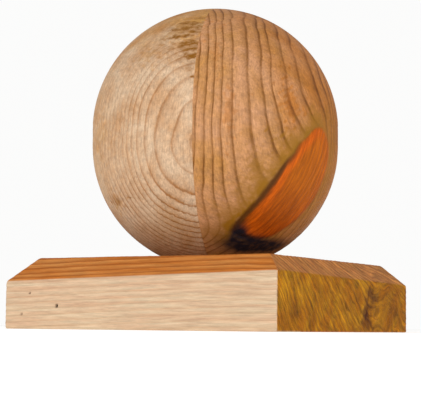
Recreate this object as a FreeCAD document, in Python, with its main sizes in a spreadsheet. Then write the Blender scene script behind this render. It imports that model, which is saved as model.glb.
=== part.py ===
"""Fence post cap: a turned wooden ball, glued up from two boards, on a bevelled square plate.

Frame: millimetres, +Z up, origin at the centre of the plate's underside, where it meets the
post.  -Y is the front face, and the plate's grain runs along X.  The ball is joined to the
plate by a dowel screw, and the plate is held down by four countersunk wood screws.
"""

import FreeCAD, Part
import math
import os

import Sketcher

SIZES = {
    # cap plate: a square board with a tapered 45 degree bevel along each top edge
    "plate_side": 120.0,
    "plate_thickness": 28.0,
    "bevel_front_left": 9.5,
    "bevel_front_right": 6.3,
    "bevel_back_right": 8.5,
    "bevel_back_left": 7.6,
    # ball: two half spheres with a short straight band between them, cut flat where it sits
    "ball_radius": 50.4,
    "ball_band": 6.0,
    "seat_radius": 17.0,
    # the upright glue line between the ball's two boards
    "glue_angle": 17.6,
    "glue_offset": 1.8,
    # dowel screw: a wood thread at both ends and a plain waist at the joint
    "dowel_in_plate": 22.0,
    "dowel_in_ball": 36.0,
    "dowel_core_radius": 2.9,
    "dowel_thread_radius": 4.0,
    "dowel_thread_pitch": 3.6,
    "dowel_waist_length": 8.0,
    "dowel_waist_radius": 3.3,
    "dowel_point": 5.0,
    "dowel_hole_radius": 4.1,
    "dowel_hole_spare": 2.0,
    # wood screws, 4 x 50, through the plate into the post's end grain
    "screw_spacing": 56.0,
    "screw_length": 50.0,
    "screw_sink": 0.15,
    "screw_head_radius": 4.0,
    "screw_head_rim": 0.3,
    "screw_shank_radius": 1.45,
    "screw_core_radius": 1.3,
    "screw_thread_radius": 2.0,
    "screw_thread_pitch": 2.0,
    "screw_shank_end": 20.0,
    "screw_point": 5.0,
    "screw_hole_radius": 2.25,
    "countersink_radius": 4.5,
    "recess_span": 4.4,
    "recess_slot": 0.9,
    "recess_depth": 2.0,
    # both threads: the root is sunk a little into the core, and the crest has a narrow flat
    "thread_bite": 0.15,
    "thread_crest": 0.2,
    # how far a cutting profile runs past the wood that it cuts
    "margin": 5.0,
}
HALF_SIDE = "Sizes.plate_side / 2"
LOWER_CENTRE = "sqrt(Sizes.ball_radius ^ 2 - Sizes.seat_radius ^ 2)"
UPPER_CENTRE = f"({LOWER_CENTRE} + Sizes.ball_band)"

doc = FreeCAD.newDocument("fence_post_cap")


def make_sheet():
    """Write the driving sizes to a spreadsheet, one aliased cell each."""
    sheet = doc.addObject("Spreadsheet::Sheet", "Sizes")
    for row, (alias, value) in enumerate(SIZES.items(), start=1):
        sheet.set(f"A{row}", alias)
        sheet.set(f"B{row}", str(value))
        sheet.setAlias(f"B{row}", alias)
    doc.recompute()
    return sheet


sheet = make_sheet()


def size(alias):
    """The value of one cell of the sheet."""
    return float(getattr(sheet, alias))


def new_body(label):
    """An empty body whose label names the sub-part."""
    body = doc.addObject("PartDesign::Body", label)
    body.Label = label
    return body


def new_sketch(body, name, plane, offset=None):
    """A sketch on one of the body's own origin planes; offset is a formula along its normal."""
    support = next(f for f in body.Origin.OriginFeatures if f.Role == plane)
    sketch = body.newObject("Sketcher::SketchObject", name)
    sketch.AttachmentSupport = [(support, "")]
    sketch.MapMode = "FlatFace"
    if offset:
        sketch.setExpression("AttachmentOffset.Base.z", offset)
    return sketch


def constrain(sketch, kind, refs, name, formula):
    """Add one named dimension and bind it to a formula on the sheet."""
    value = float(sketch.evalExpression(formula))
    index = sketch.addConstraint(Sketcher.Constraint(kind, *refs, value))
    sketch.renameConstraint(index, name)
    sketch.setExpression("Constraints." + name, formula)


def polygon(sketch, corners):
    """Draw a closed outline.  Each corner is (x, y), with a formula or 0 for each."""
    points = []
    for x, y in corners:
        values = [float(sketch.evalExpression(str(v))) if v else 0.0 for v in (x, y)]
        points.append(FreeCAD.Vector(values[0], values[1], 0))
    count = len(points)
    for i, point in enumerate(points):
        sketch.addGeometry(Part.LineSegment(point, points[(i + 1) % count]), False)
    for i in range(count):
        sketch.addConstraint(Sketcher.Constraint("Coincident", i, 2, (i + 1) % count, 1))
    for i, (x, y) in enumerate(corners):
        place_point(sketch, i, 1, x, y, f"corner{i}")
    return sketch


def place_point(sketch, line, end, x, y, name):
    """Tie one point of the sketch to its two coordinates, each a formula or 0."""
    if x:
        constrain(sketch, "DistanceX", (-1, 1, line, end), name + "_across", str(x))
    else:
        sketch.addConstraint(Sketcher.Constraint("PointOnObject", line, end, -2))
    if y:
        constrain(sketch, "DistanceY", (-1, 1, line, end), name + "_up", str(y))
    else:
        sketch.addConstraint(Sketcher.Constraint("PointOnObject", line, end, -1))


def revolve(body, sketch, name):
    """Turn a half profile about the body's own Z axis."""
    turned = body.newObject("PartDesign::Revolution", name)
    turned.Profile = sketch
    turned.ReferenceAxis = (sketch, ["V_Axis"])
    turned.Angle = 360
    sketch.Visibility = False
    doc.recompute()
    return turned


def cut_through(body, sketch, name):
    """Cut a profile through the whole body, to both sides of its plane."""
    before = body.Shape.Volume
    pocket = body.newObject("PartDesign::Pocket", name)
    pocket.Profile = sketch
    pocket.Type = "ThroughAll"
    pocket.SideType = "Symmetric"
    doc.recompute()
    check_smaller(body, before, name)
    return pocket


def cut_blind(body, sketch, name, formula, reverse):
    """Cut a profile to a depth; reverse says which way the cut runs from its plane."""
    before = body.Shape.Volume
    pocket = body.newObject("PartDesign::Pocket", name)
    pocket.Profile = sketch
    pocket.setExpression("Length", formula)
    pocket.Reversed = reverse
    doc.recompute()
    check_smaller(body, before, name)
    return pocket


def check_smaller(body, before, name):
    """Stop if a cut took nothing away."""
    if body.Shape.Volume > before - 0.01:
        raise RuntimeError(f"{body.Label}: {name} cuts nothing")


def circle(sketch, radius, name, x=None, y=None):
    """Draw a circle at the origin, or at the formulas x and y."""
    values = [float(sketch.evalExpression(v)) if v else 0.0 for v in (x, y)]
    centre = FreeCAD.Vector(values[0], values[1], 0)
    start = float(sketch.evalExpression(radius))
    index = sketch.addGeometry(Part.Circle(centre, FreeCAD.Vector(0, 0, 1), start), False)
    constrain(sketch, "Radius", (index,), name + "_radius", radius)
    place_point(sketch, index, 3, x, y, name)


# ---------------------------------------------------------------- cap plate


def cut_bevel(plate, side, plane, outward, legs):
    """Plane one tapered bevel along a top edge; legs are its sizes at the low and high end.

    The triangle of waste is drawn at the edge's low end, with its long side at 45 degrees,
    and is swept along the edge on a line that drops as the bevel grows.
    """
    before = plate.Shape.Volume
    low_leg, high_leg = legs
    over = f"{outward} * ({HALF_SIDE} + Sizes.margin)"
    inner = f"{outward} * ({HALF_SIDE} - {low_leg} - Sizes.margin)"
    above = "Sizes.plate_thickness + Sizes.margin"
    below = f"Sizes.plate_thickness - {low_leg} - Sizes.margin"
    normal_sign = 1 if plane == "YZ_Plane" else -1
    sketch = new_sketch(plate, side + "_bevel_waste", plane, f"{-normal_sign} * {HALF_SIDE}")
    polygon(sketch, [(over, below), (over, above), (inner, above)])
    bevel = plate.newObject("PartDesign::Pocket", side + "_bevel")
    bevel.Profile = sketch
    bevel.Type = "ThroughAll"
    bevel.UseCustomVector = True
    bevel.AlongSketchNormal = False
    bevel.Direction = FreeCAD.Vector(plane == "YZ_Plane", plane == "XZ_Plane", 0)
    bevel.setExpression("Direction.z", f"({low_leg} - {high_leg}) / Sizes.plate_side")
    doc.recompute()
    check_smaller(plate, before, side + "_bevel")


def drill_screw_holes(plate):
    """Four through holes with countersinks, on a square about the middle."""
    before = plate.Shape.Volume
    sketch = new_sketch(plate, "screw_holes", "XY_Plane", "Sizes.plate_thickness")
    for number, (x, y) in enumerate(screw_places(), start=1):
        circle(sketch, "Sizes.screw_hole_radius", f"hole{number}", x, y)
    doc.recompute()
    holes = plate.newObject("PartDesign::Hole", "countersunk_holes")
    holes.Profile = sketch
    doc.recompute()
    holes.DepthType = "ThroughAll"
    holes.setExpression("Diameter", "2 * Sizes.screw_hole_radius")
    holes.HoleCutType = "Countersink"
    holes.HoleCutCustomValues = True
    holes.setExpression("HoleCutDiameter", "2 * Sizes.countersink_radius")
    holes.HoleCutCountersinkAngle = 90
    doc.recompute()
    check_smaller(plate, before, "countersunk_holes")


def make_plate():
    """The square plate: bevels, four countersunk holes and a blind hole for the dowel screw."""
    plate = new_body("cap_plate")
    minus = f"-1 * {HALF_SIDE}"
    outline = new_sketch(plate, "plate_outline", "XY_Plane")
    corners = [(minus, minus), (HALF_SIDE, minus), (HALF_SIDE, HALF_SIDE), (minus, HALF_SIDE)]
    polygon(outline, corners)
    slab = plate.newObject("PartDesign::Pad", "slab")
    slab.Profile = outline
    slab.setExpression("Length", "Sizes.plate_thickness")
    doc.recompute()

    front_left, front_right = "Sizes.bevel_front_left", "Sizes.bevel_front_right"
    back_left, back_right = "Sizes.bevel_back_left", "Sizes.bevel_back_right"
    cut_bevel(plate, "front", "YZ_Plane", -1, (front_left, front_right))
    cut_bevel(plate, "back", "YZ_Plane", 1, (back_left, back_right))
    cut_bevel(plate, "left", "XZ_Plane", -1, (front_left, back_left))
    cut_bevel(plate, "right", "XZ_Plane", 1, (front_right, back_right))

    drill_screw_holes(plate)
    dowel_hole = new_sketch(plate, "dowel_hole", "XY_Plane", "Sizes.plate_thickness")
    circle(dowel_hole, "Sizes.dowel_hole_radius", "hole")
    cut_blind(plate, dowel_hole, "dowel_bore", "Sizes.dowel_in_plate + Sizes.dowel_hole_spare", False)
    return plate


# ---------------------------------------------------------------- ball


def ball_half_profile(sketch):
    """Half of the ball's outline, from its flat seat at height 0 up to its crown."""
    radius, seat = size("ball_radius"), size("seat_radius")
    low = float(sketch.evalExpression(LOWER_CENTRE))
    high = float(sketch.evalExpression(UPPER_CENTRE))
    corners = [(0, 0), (seat, 0), (radius, low), (radius, high), (0, high + radius)]
    crown, seat_edge, band_low, band_high, top = [FreeCAD.Vector(x, y, 0) for x, y in corners]
    up = FreeCAD.Vector(0, 0, 1)
    lower = Part.Circle(FreeCAD.Vector(0, low, 0), up, radius)
    upper = Part.Circle(FreeCAD.Vector(0, high, 0), up, radius)
    sketch.addGeometry(Part.LineSegment(crown, seat_edge), False)
    sketch.addGeometry(Part.ArcOfCircle(lower, math.atan2(-low, seat), 0.0), False)
    sketch.addGeometry(Part.LineSegment(band_low, band_high), False)
    sketch.addGeometry(Part.ArcOfCircle(upper, 0.0, math.pi / 2), False)
    sketch.addGeometry(Part.LineSegment(top, crown), False)
    for i in range(len(corners)):
        sketch.addConstraint(Sketcher.Constraint("Coincident", i, 2, (i + 1) % len(corners), 1))
    for arc in (1, 3):
        sketch.addConstraint(Sketcher.Constraint("PointOnObject", arc, 3, -2))
    place_point(sketch, 0, 1, 0, 0, "foot")
    place_point(sketch, 1, 1, "Sizes.seat_radius", 0, "seat")
    place_point(sketch, 2, 1, "Sizes.ball_radius", LOWER_CENTRE, "band_low")
    place_point(sketch, 3, 1, "Sizes.ball_radius", UPPER_CENTRE, "band_high")
    place_point(sketch, 4, 1, 0, f"{UPPER_CENTRE} + Sizes.ball_radius", "crown")


def make_ball_board(label, kept_side):
    """One board of the ball.  kept_side is -1 or 1, the side of the glue line it lies on."""
    board = new_body(label)
    profile = new_sketch(board, label + "_profile", "XZ_Plane")
    ball_half_profile(profile)
    revolve(board, profile, label + "_turning")

    bore = new_sketch(board, label + "_dowel_hole", "XY_Plane")
    circle(bore, "Sizes.dowel_hole_radius", "hole")
    depth = "Sizes.dowel_in_ball + Sizes.dowel_hole_spare"
    cut_blind(board, bore, label + "_dowel_bore", depth, True)

    waste = new_sketch(board, label + "_waste", "XZ_Plane")
    glue_line = "Sizes.glue_offset"
    outside = f"{-kept_side} * (Sizes.ball_radius + Sizes.margin)"
    top = f"{UPPER_CENTRE} + Sizes.ball_radius + Sizes.margin"
    below = "-1 * Sizes.margin"
    polygon(waste, [(glue_line, below), (outside, below), (outside, top), (glue_line, top)])
    cut_through(board, waste, label + "_halving")

    board.setExpression("Placement.Base.z", "Sizes.plate_thickness")
    board.Placement.Rotation = FreeCAD.Rotation(FreeCAD.Vector(0, 0, 1), size("glue_angle"))
    board.setExpression("Placement.Rotation.Angle", "Sizes.glue_angle")
    return board


# ---------------------------------------------------------------- screws


def cut_thread(body, name, core, crest, pitch, start, length):
    """Wind a right-hand thread round a core, from the height start and up by length."""
    sketch = new_sketch(body, name + "_profile", "XZ_Plane")
    root = f"{core} - Sizes.thread_bite"
    flank = f"0.25 * {pitch}"
    corners = [
        (root, start),
        (crest, f"{start} + {flank}"),
        (crest, f"{start} + {flank} + Sizes.thread_crest"),
        (root, f"{start} + 2 * {flank} + Sizes.thread_crest"),
    ]
    polygon(sketch, corners)
    before = body.Shape.Volume
    thread = body.newObject("PartDesign::AdditiveHelix", name)
    thread.Profile = sketch
    thread.ReferenceAxis = (sketch, ["V_Axis"])
    thread.Mode = "pitch-height-angle"
    thread.setExpression("Pitch", pitch)
    thread.setExpression("Height", length)
    thread.LeftHanded = False
    doc.recompute()
    if body.Shape.Volume < before + 1.0:
        raise RuntimeError(f"{body.Label}: {name} adds nothing")


def make_dowel_screw():
    """The double-ended screw that draws the ball down onto the plate."""
    dowel = new_body("dowel_screw")
    half_waist = "Sizes.dowel_waist_length / 2"
    core, waist = "Sizes.dowel_core_radius", "Sizes.dowel_waist_radius"
    foot, crown = "-1 * Sizes.dowel_in_plate", "Sizes.dowel_in_ball"
    profile = new_sketch(dowel, "dowel_profile", "XZ_Plane")
    corners = [
        (0, foot),
        (core, f"{foot} + Sizes.dowel_point"),
        (core, f"-1 * {half_waist}"),
        (waist, f"-1 * {half_waist}"),
        (waist, half_waist),
        (core, half_waist),
        (core, f"{crown} - Sizes.dowel_point"),
        (0, crown),
    ]
    polygon(profile, corners)
    revolve(dowel, profile, "dowel_core")
    crest, pitch = "Sizes.dowel_thread_radius", "Sizes.dowel_thread_pitch"
    run_out = f"({half_waist} + 1.5 * {pitch} + Sizes.dowel_point / 2)"
    low_start = f"{foot} + Sizes.dowel_point / 2"
    cut_thread(dowel, "plate_thread", core, crest, pitch, low_start, f"Sizes.dowel_in_plate - {run_out}")
    cut_thread(dowel, "ball_thread", core, crest, pitch, half_waist, f"Sizes.dowel_in_ball - {run_out}")
    dowel.setExpression("Placement.Base.z", "Sizes.plate_thickness")
    return dowel


def screw_places():
    """Formulas for the four screw centres, anticlockwise from the front left."""
    low, high = "-0.5 * Sizes.screw_spacing", "0.5 * Sizes.screw_spacing"
    return [(low, low), (high, low), (high, high), (low, high)]


def cross_recess(sketch):
    """The outline of a cross-shaped driver recess."""
    arm, slot = "Sizes.recess_span / 2", "Sizes.recess_slot / 2"
    corners = []
    for across, up in ((1, 1), (-1, 1), (-1, -1), (1, -1)):
        outer = (f"{across} * {arm}", f"{up} * {slot}")
        inner = (f"{across} * {slot}", f"{up} * {slot}")
        end = (f"{across} * {slot}", f"{up} * {arm}")
        corners += [outer, inner, end] if across * up > 0 else [end, inner, outer]
    polygon(sketch, corners)


def make_post_screw(number, x, y):
    """One countersunk wood screw, its head level with the top of the plate."""
    label = f"post_screw_{number}"
    screw = new_body(label)
    head, rim = "Sizes.screw_head_radius", "Sizes.screw_head_rim"
    shank, core = "Sizes.screw_shank_radius", "Sizes.screw_core_radius"
    tip = "-1 * Sizes.screw_length"
    profile = new_sketch(screw, label + "_profile", "XZ_Plane")
    corners = [
        (0, 0),
        (head, 0),
        (head, f"-1 * {rim}"),
        (shank, f"-1 * ({rim} + {head} - {shank})"),
        (shank, "-1 * Sizes.screw_shank_end"),
        (core, "-1 * Sizes.screw_shank_end"),
        (core, f"{tip} + Sizes.screw_point"),
        (0, tip),
    ]
    polygon(profile, corners)
    revolve(screw, profile, label + "_blank")
    recess = new_sketch(screw, label + "_recess", "XY_Plane")
    cross_recess(recess)
    cut_blind(screw, recess, label + "_driver_recess", "Sizes.recess_depth", False)
    crest, pitch = "Sizes.screw_thread_radius", "Sizes.screw_thread_pitch"
    start = f"{tip} + Sizes.screw_point / 2"
    run = f"Sizes.screw_length - Sizes.screw_shank_end - Sizes.screw_point / 2 - {pitch}"
    cut_thread(screw, label + "_thread", core, crest, pitch, start, run)
    screw.setExpression("Placement.Base.x", x)
    screw.setExpression("Placement.Base.y", y)
    screw.setExpression("Placement.Base.z", "Sizes.plate_thickness - Sizes.screw_sink")
    return screw


# ---------------------------------------------------------------- build, check and write


def check_and_write(parts):
    """Stop on any failed object or bad shape, then write one file for each sub-part."""
    for item in doc.Objects:
        if {"Invalid", "Error"} & set(item.State):
            raise RuntimeError(f"{item.Name} failed: {item.State}")
    for piece in parts:
        shape = piece.Shape
        if shape.isNull() or not shape.isValid() or len(shape.Solids) != 1:
            raise RuntimeError(f"{piece.Label} is not one valid solid")
    os.makedirs("parts", exist_ok=True)
    for piece in parts:
        piece.Shape.exportStep(f"parts/{piece.Label}.step")
        box = piece.Shape.BoundBox
        span = f"z {box.ZMin:.2f} to {box.ZMax:.2f}"
        print(f"{piece.Label}: {piece.Shape.Volume / 1000:.2f} cm3, {span}")


parts = [make_plate(), make_ball_board("ball_left_board", -1), make_ball_board("ball_right_board", 1)]
parts.append(make_dowel_screw())
for number, (x, y) in enumerate(screw_places(), start=1):
    parts.append(make_post_screw(number, x, y))
doc.recompute()
check_and_write(parts)
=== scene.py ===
import math

import bmesh
import bpy
import numpy as np
from mathutils import Color, Matrix, Vector


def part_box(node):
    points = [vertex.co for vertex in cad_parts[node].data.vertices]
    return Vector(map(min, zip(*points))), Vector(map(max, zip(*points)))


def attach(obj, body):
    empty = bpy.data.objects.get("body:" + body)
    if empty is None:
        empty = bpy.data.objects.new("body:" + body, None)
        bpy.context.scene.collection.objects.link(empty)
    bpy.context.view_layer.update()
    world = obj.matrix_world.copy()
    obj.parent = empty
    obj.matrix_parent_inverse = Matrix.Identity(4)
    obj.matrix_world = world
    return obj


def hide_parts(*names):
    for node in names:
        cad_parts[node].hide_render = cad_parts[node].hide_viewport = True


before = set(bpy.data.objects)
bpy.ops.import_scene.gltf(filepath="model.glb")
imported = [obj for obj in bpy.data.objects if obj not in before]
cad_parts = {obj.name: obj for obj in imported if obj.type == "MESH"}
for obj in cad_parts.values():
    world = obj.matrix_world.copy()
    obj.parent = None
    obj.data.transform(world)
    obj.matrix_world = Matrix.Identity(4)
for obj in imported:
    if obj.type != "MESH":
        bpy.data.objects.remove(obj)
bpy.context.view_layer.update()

bl_info = {
    "name": "Fence Post Cap",
    "version": (1, 0, 0),
    "blender": (4, 5, 0),
    "location": "View3D > Sidebar > Post Cap",
    "description": "Builds the wood, the screws and the stage of a turned fence post cap",
    "category": "Object",
}

PLATE_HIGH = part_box("cap_plate")[1]
BALL_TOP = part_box("ball_left_board")[1].z
SCREWS = [f"post_screw_{number}" for number in (1, 2, 3, 4)]
MM = 0.001

# how fine the carved meshes are
BOARD_GRID = 300  # points along each side of a board's skin
PLATE_STEPS_ALONG = 226  # points along each side of the plate
PLATE_STEPS_UP = (2, 37, 22, 30)  # underside, side, bevel, top

# depths of the carved marks, in millimetres
RING_DEPTH = 0.10
TEAR_DEPTH = 0.75
SEAM_DEPTH = 0.16
KNOT_CRACK_DEPTH = 0.45
KNOT_WAVE_DEPTH = 0.08
SAWN_RING_DEPTH = 0.05
END_RING_DEPTH = 0.12
PIN_HOLE_DEPTH = 0.9
BARK_DEPTH = 0.5

FAR_FROM_KNOT = 60.0  # distance from the knot's edge, in millimetres, that stands for no knot
AMBER_TINT = (0.88, 0.64, 0.26, 1)
# near black painted shade for the insides of the pin holes
PIN_HOLE_SHADE = (0.01, 0.006, 0.003, 1)


# ---------------------------------------------------------------- settings


def length(name, text, default):
    """A size in metres."""
    return bpy.props.FloatProperty(
        name=name, description=text, default=default, unit="LENGTH", precision=5
    )


def angle(name, text, degrees):
    """An angle, stored in radians."""
    return bpy.props.FloatProperty(
        name=name, description=text, default=math.radians(degrees), unit="ROTATION"
    )


def colour(name, text, red, green, blue):
    """A colour as it looks on a screen."""
    return bpy.props.FloatVectorProperty(
        name=name,
        description=text,
        default=(red, green, blue),
        subtype="COLOR_GAMMA",
        min=0.0,
        max=1.0,
    )


class PlateSettings(bpy.types.PropertyGroup):
    """Sizes and colours of the square plate."""

    bevel_front_left: length("Front left bevel", "Leg of the bevel at this corner", 0.0095)
    bevel_front_right: length("Front right bevel", "Leg of the bevel at this corner", 0.0063)
    bevel_back_right: length("Back right bevel", "Leg of the bevel at this corner", 0.0085)
    bevel_back_left: length("Back left bevel", "Leg of the bevel at this corner", 0.0076)
    arris: length("Arris", "How far each sharp edge is worn back", 0.0009)
    sapwood: colour("Sapwood", "Pale outer wood on the front face", 0.80, 0.71, 0.59)
    sapwood_pink: colour("Sapwood blush", "Pinkish streaks in the sapwood", 0.775, 0.64, 0.52)
    sapwood_line: colour("Sapwood line", "Growth lines in the sapwood", 0.69, 0.53, 0.39)
    heartwood: colour("Heartwood", "Reddish inner wood on the bevels and top", 0.72, 0.415, 0.15)
    heartwood_pale: colour("Pale heartwood", "Paler streaks in it", 0.76, 0.50, 0.25)
    heartwood_line: colour("Heartwood line", "Growth lines in the heartwood", 0.56, 0.28, 0.07)
    end_grain: colour("End grain", "Golden brown of the two sawn ends", 0.645, 0.395, 0.0)
    end_grain_pale: colour("Pale end grain", "Paler early wood on the ends", 0.70, 0.48, 0.04)
    end_grain_line: colour("End grain line", "Growth lines on the ends", 0.45, 0.24, 0.01)
    bark: colour("Bark", "Dark inclusions round the small knot", 0.30, 0.15, 0.03)


class BallSettings(bpy.types.PropertyGroup):
    """Sizes and colours of the ball and its two boards."""

    radius: length("Radius", "Radius of both half spheres", 0.0504)
    band: length("Band", "Height of the straight band between the half spheres", 0.006)
    seat_radius: length("Seat radius", "Radius of the flat that rests on the plate", 0.017)
    glue_angle: angle("Glue line angle", "Turn of the glued joint about the upright axis", 17.6)
    glue_offset: length("Glue line offset", "Distance of the joint from the axis", 0.0018)
    bore_radius: length("Bore radius", "Hole for the dowel screw", 0.0041)
    bore_depth: length("Bore depth", "Depth of that hole above the seat", 0.038)
    left_early: colour("Left early wood", "Cream of the left board", 0.795, 0.68, 0.56)
    left_blush: colour("Left blush", "Pinkish brown patches of the left board", 0.74, 0.58, 0.43)
    left_late: colour("Left late wood", "Growth lines of the left board", 0.61, 0.42, 0.25)
    right_early: colour("Right early wood", "Pinkish tan of the right board", 0.765, 0.56, 0.40)
    right_blush: colour("Right blush", "Golden patches of the right board", 0.71, 0.50, 0.27)
    right_late: colour("Right late wood", "Growth lines of the right board", 0.46, 0.28, 0.09)
    torn: colour("Torn grain", "Dirt in the torn fibres", 0.49, 0.305, 0.05)
    # golden brown near the seat: part weather stain, part painted shade where the ball meets the
    # plate
    weathered_and_shaded: colour("Weathered and shaded", "Golden brown near the foot of the ball", 0.56, 0.38, 0.05)


class KnotSettings(bpy.types.PropertyGroup):
    """Place, size and colours of the spike knot in the right board."""

    azimuth: angle("Azimuth", "Direction of the knot's middle, from +X", -15.3)
    elevation: angle("Elevation", "Height of the knot's middle over the band", -29.1)
    spin: angle("Spin", "Turn of its long axis from level", 70.9)
    half_length: length("Half length", "Half of the knot's length", 0.0254)
    half_width: length("Half width", "Half of the knot's width", 0.0135)
    skew: bpy.props.FloatProperty(
        name="Skew", description="How far its two sides are slid along each other", default=-0.37
    )
    heart: colour("Knot heart", "Orange wood inside the knot", 0.69, 0.355, 0.0)
    bright: colour("Knot bright", "Bright band beside the upper edge", 0.755, 0.34, 0.0)
    foot: colour("Knot foot", "Deeper red at the lower end", 0.62, 0.255, 0.0)
    edge: colour("Knot edge", "Dark line round the knot", 0.29, 0.165, 0.02)
    halo: colour("Knot halo", "Khaki resin stain round the knot", 0.56, 0.38, 0.08)
    blue: colour("Blue stain", "Blue-black stain at the knot's foot", 0.10, 0.09, 0.13)


class SteelSettings(bpy.types.PropertyGroup):
    """Finish of the zinc-plated screws."""

    zinc: colour("Zinc", "Bright zinc plate", 0.80, 0.81, 0.83)
    dull: colour("Dull zinc", "Tarnished patches", 0.58, 0.58, 0.57)


class StageSettings(bpy.types.PropertyGroup):
    """Camera, lights and floor."""

    azimuth: angle("Camera azimuth", "Direction that the camera stands in, from -Y", 29.68)
    distance: length("Camera distance", "Distance from the cap's axis", 0.5894)
    height: length("Camera height", "Height of the lens over the floor", 0.0015)
    pitch: angle("Camera pitch", "How far the camera looks up", 5.026)
    swing: angle("Camera swing", "How far it looks past the axis", 0.165)
    roll: angle("Camera roll", "Turn about its own line of sight", 0.603)
    lens: bpy.props.FloatProperty(name="Lens", description="Focal length, mm", default=123.36)
    floor: colour("Floor", "Plain pale floor", 0.93, 0.925, 0.915)


def settings(name):
    """One group of the scene's settings."""
    return getattr(bpy.context.scene, "post_cap_" + name)


def shade(screen_colour):
    """A node socket's colour for a colour as it looks on a screen."""
    return (*Color(screen_colour).from_srgb_to_scene_linear(), 1.0)


# ---------------------------------------------------------------- numbers on points


def soft_noise(points, size, seed):
    """Smooth noise of about -1 to 1, whose lumps are about size across."""
    rng = np.random.default_rng(seed)
    total = np.zeros(len(points))
    for _ in range(16):
        direction = rng.normal(size=3)
        direction /= np.linalg.norm(direction)
        frequency = 2 * math.pi / size * rng.uniform(0.6, 1.6)
        total += np.sin(points @ direction * frequency + rng.uniform(0, 2 * math.pi))
    return total / 4


def ease(low, high, values):
    """0 below low, 1 above high and a smooth step between."""
    share = np.clip((values - low) / (high - low), 0, 1)
    return share * share * (3 - 2 * share)


def unit(azimuth, elevation):
    """The unit vector in a direction, its angles in radians."""
    flat = math.cos(elevation)
    return np.array([math.cos(azimuth) * flat, math.sin(azimuth) * flat, math.sin(elevation)])


def ring_ridge(rings):
    """Height of the late wood across each growth ring, 0 to 1, with a sharp outer side."""
    share = rings - np.floor(rings)
    return ease(0.45, 0.9, share) * (1 - ease(0.94, 1.0, share))


def turned(points, radians):
    """Points turned about the upright axis."""
    c, s = math.cos(radians), math.sin(radians)
    return points @ np.array([[c, s, 0], [-s, c, 0], [0, 0, 1]])


# ---------------------------------------------------------------- meshes


def mesh_object(name, points, faces):
    """A mesh object from points in millimetres."""
    mesh = bpy.data.meshes.new(name)
    mesh.from_pydata((points * MM).tolist(), [], faces)
    mesh.update()
    piece = bpy.data.objects.new(name, mesh)
    bpy.context.scene.collection.objects.link(piece)
    return piece


def mesh_points(mesh):
    """A mesh's points in millimetres."""
    flat = np.empty(len(mesh.vertices) * 3)
    mesh.vertices.foreach_get("co", flat)
    return flat.reshape(-1, 3) / MM


def mesh_normals(mesh):
    """A mesh's normals at its points."""
    flat = np.empty(len(mesh.vertices) * 3)
    mesh.vertices.foreach_get("normal", flat)
    return flat.reshape(-1, 3)


def move_points(mesh, points):
    """Put a mesh's points at places in millimetres."""
    mesh.vertices.foreach_set("co", (points * MM).ravel())
    mesh.update()


def write_number(mesh, name, values):
    """Store one number per point for the material."""
    layer = mesh.attributes.new(name, "FLOAT", "POINT")
    layer.data.foreach_set("value", values.astype(np.float32))


def write_vector(mesh, name, *columns):
    """Store three numbers per point for the material."""
    layer = mesh.attributes.new(name, "FLOAT_VECTOR", "POINT")
    layer.data.foreach_set("vector", np.stack(columns, axis=1).astype(np.float32).ravel())


def round_cutter(name, profile, places, sides=48):
    """Turned cutting bodies, one at each place: profile is (radius, height) from foot to top."""
    form = bmesh.new()
    for x, y in places:
        rings = []
        for radius, height in profile:
            ring = []
            for step in range(sides):
                turn = 2 * math.pi * step / sides
                at = (x + radius * math.cos(turn), y + radius * math.sin(turn), height)
                ring.append(form.verts.new(Vector(at) * MM))
            rings.append(ring)
        form.faces.new(list(reversed(rings[0])))
        form.faces.new(rings[-1])
        for low, high in zip(rings, rings[1:]):
            for step in range(sides):
                after = (step + 1) % sides
                form.faces.new([low[step], low[after], high[after], high[step]])
    mesh = bpy.data.meshes.new(name)
    form.to_mesh(mesh)
    form.free()
    cutter = bpy.data.objects.new(name, mesh)
    bpy.context.scene.collection.objects.link(cutter)
    return cutter


def cut(piece, cutter):
    """Take the cutter out of the piece and leave a plain mesh."""
    modifier = piece.modifiers.new("bores", "BOOLEAN")
    modifier.operation = "DIFFERENCE"
    modifier.solver = "EXACT"
    modifier.object = cutter
    graph = bpy.context.evaluated_depsgraph_get()
    mesh = bpy.data.meshes.new_from_object(piece.evaluated_get(graph))
    piece.modifiers.clear()
    piece.data = mesh
    cutter_mesh = cutter.data
    bpy.data.objects.remove(cutter)
    bpy.data.meshes.remove(cutter_mesh)


def finish_piece(piece, node, material):
    """Shade a piece, give it its material, hide the CAD part it replaces and hang it under the root
    body.
    """
    mesh = piece.data
    mesh.shade_smooth()
    mesh.set_sharp_from_angle(angle=math.radians(38))
    mesh.materials.clear()
    mesh.materials.append(material)
    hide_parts(node)
    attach(piece, "root")


# ---------------------------------------------------------------- ball


def half_sphere_grid(count):
    """Even directions over a half sphere round +X, from a square grid of count by count."""
    line = np.linspace(-1, 1, count)
    a, b = np.meshgrid(line, line, indexing="ij")
    across = np.abs(a) > np.abs(b)
    reach = np.where(across, a, b)
    share = np.where(across, b, a) / reach
    turn = np.where(across, share * math.pi / 4, math.pi / 2 - share * math.pi / 4)
    tilt = 2 * np.arcsin(np.abs(reach) / math.sqrt(2))
    side = np.sign(reach) * np.sin(tilt)
    grid = np.stack([np.cos(tilt), side * np.cos(turn), side * np.sin(turn)], axis=-1)
    return grid.reshape(-1, 3)


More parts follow.
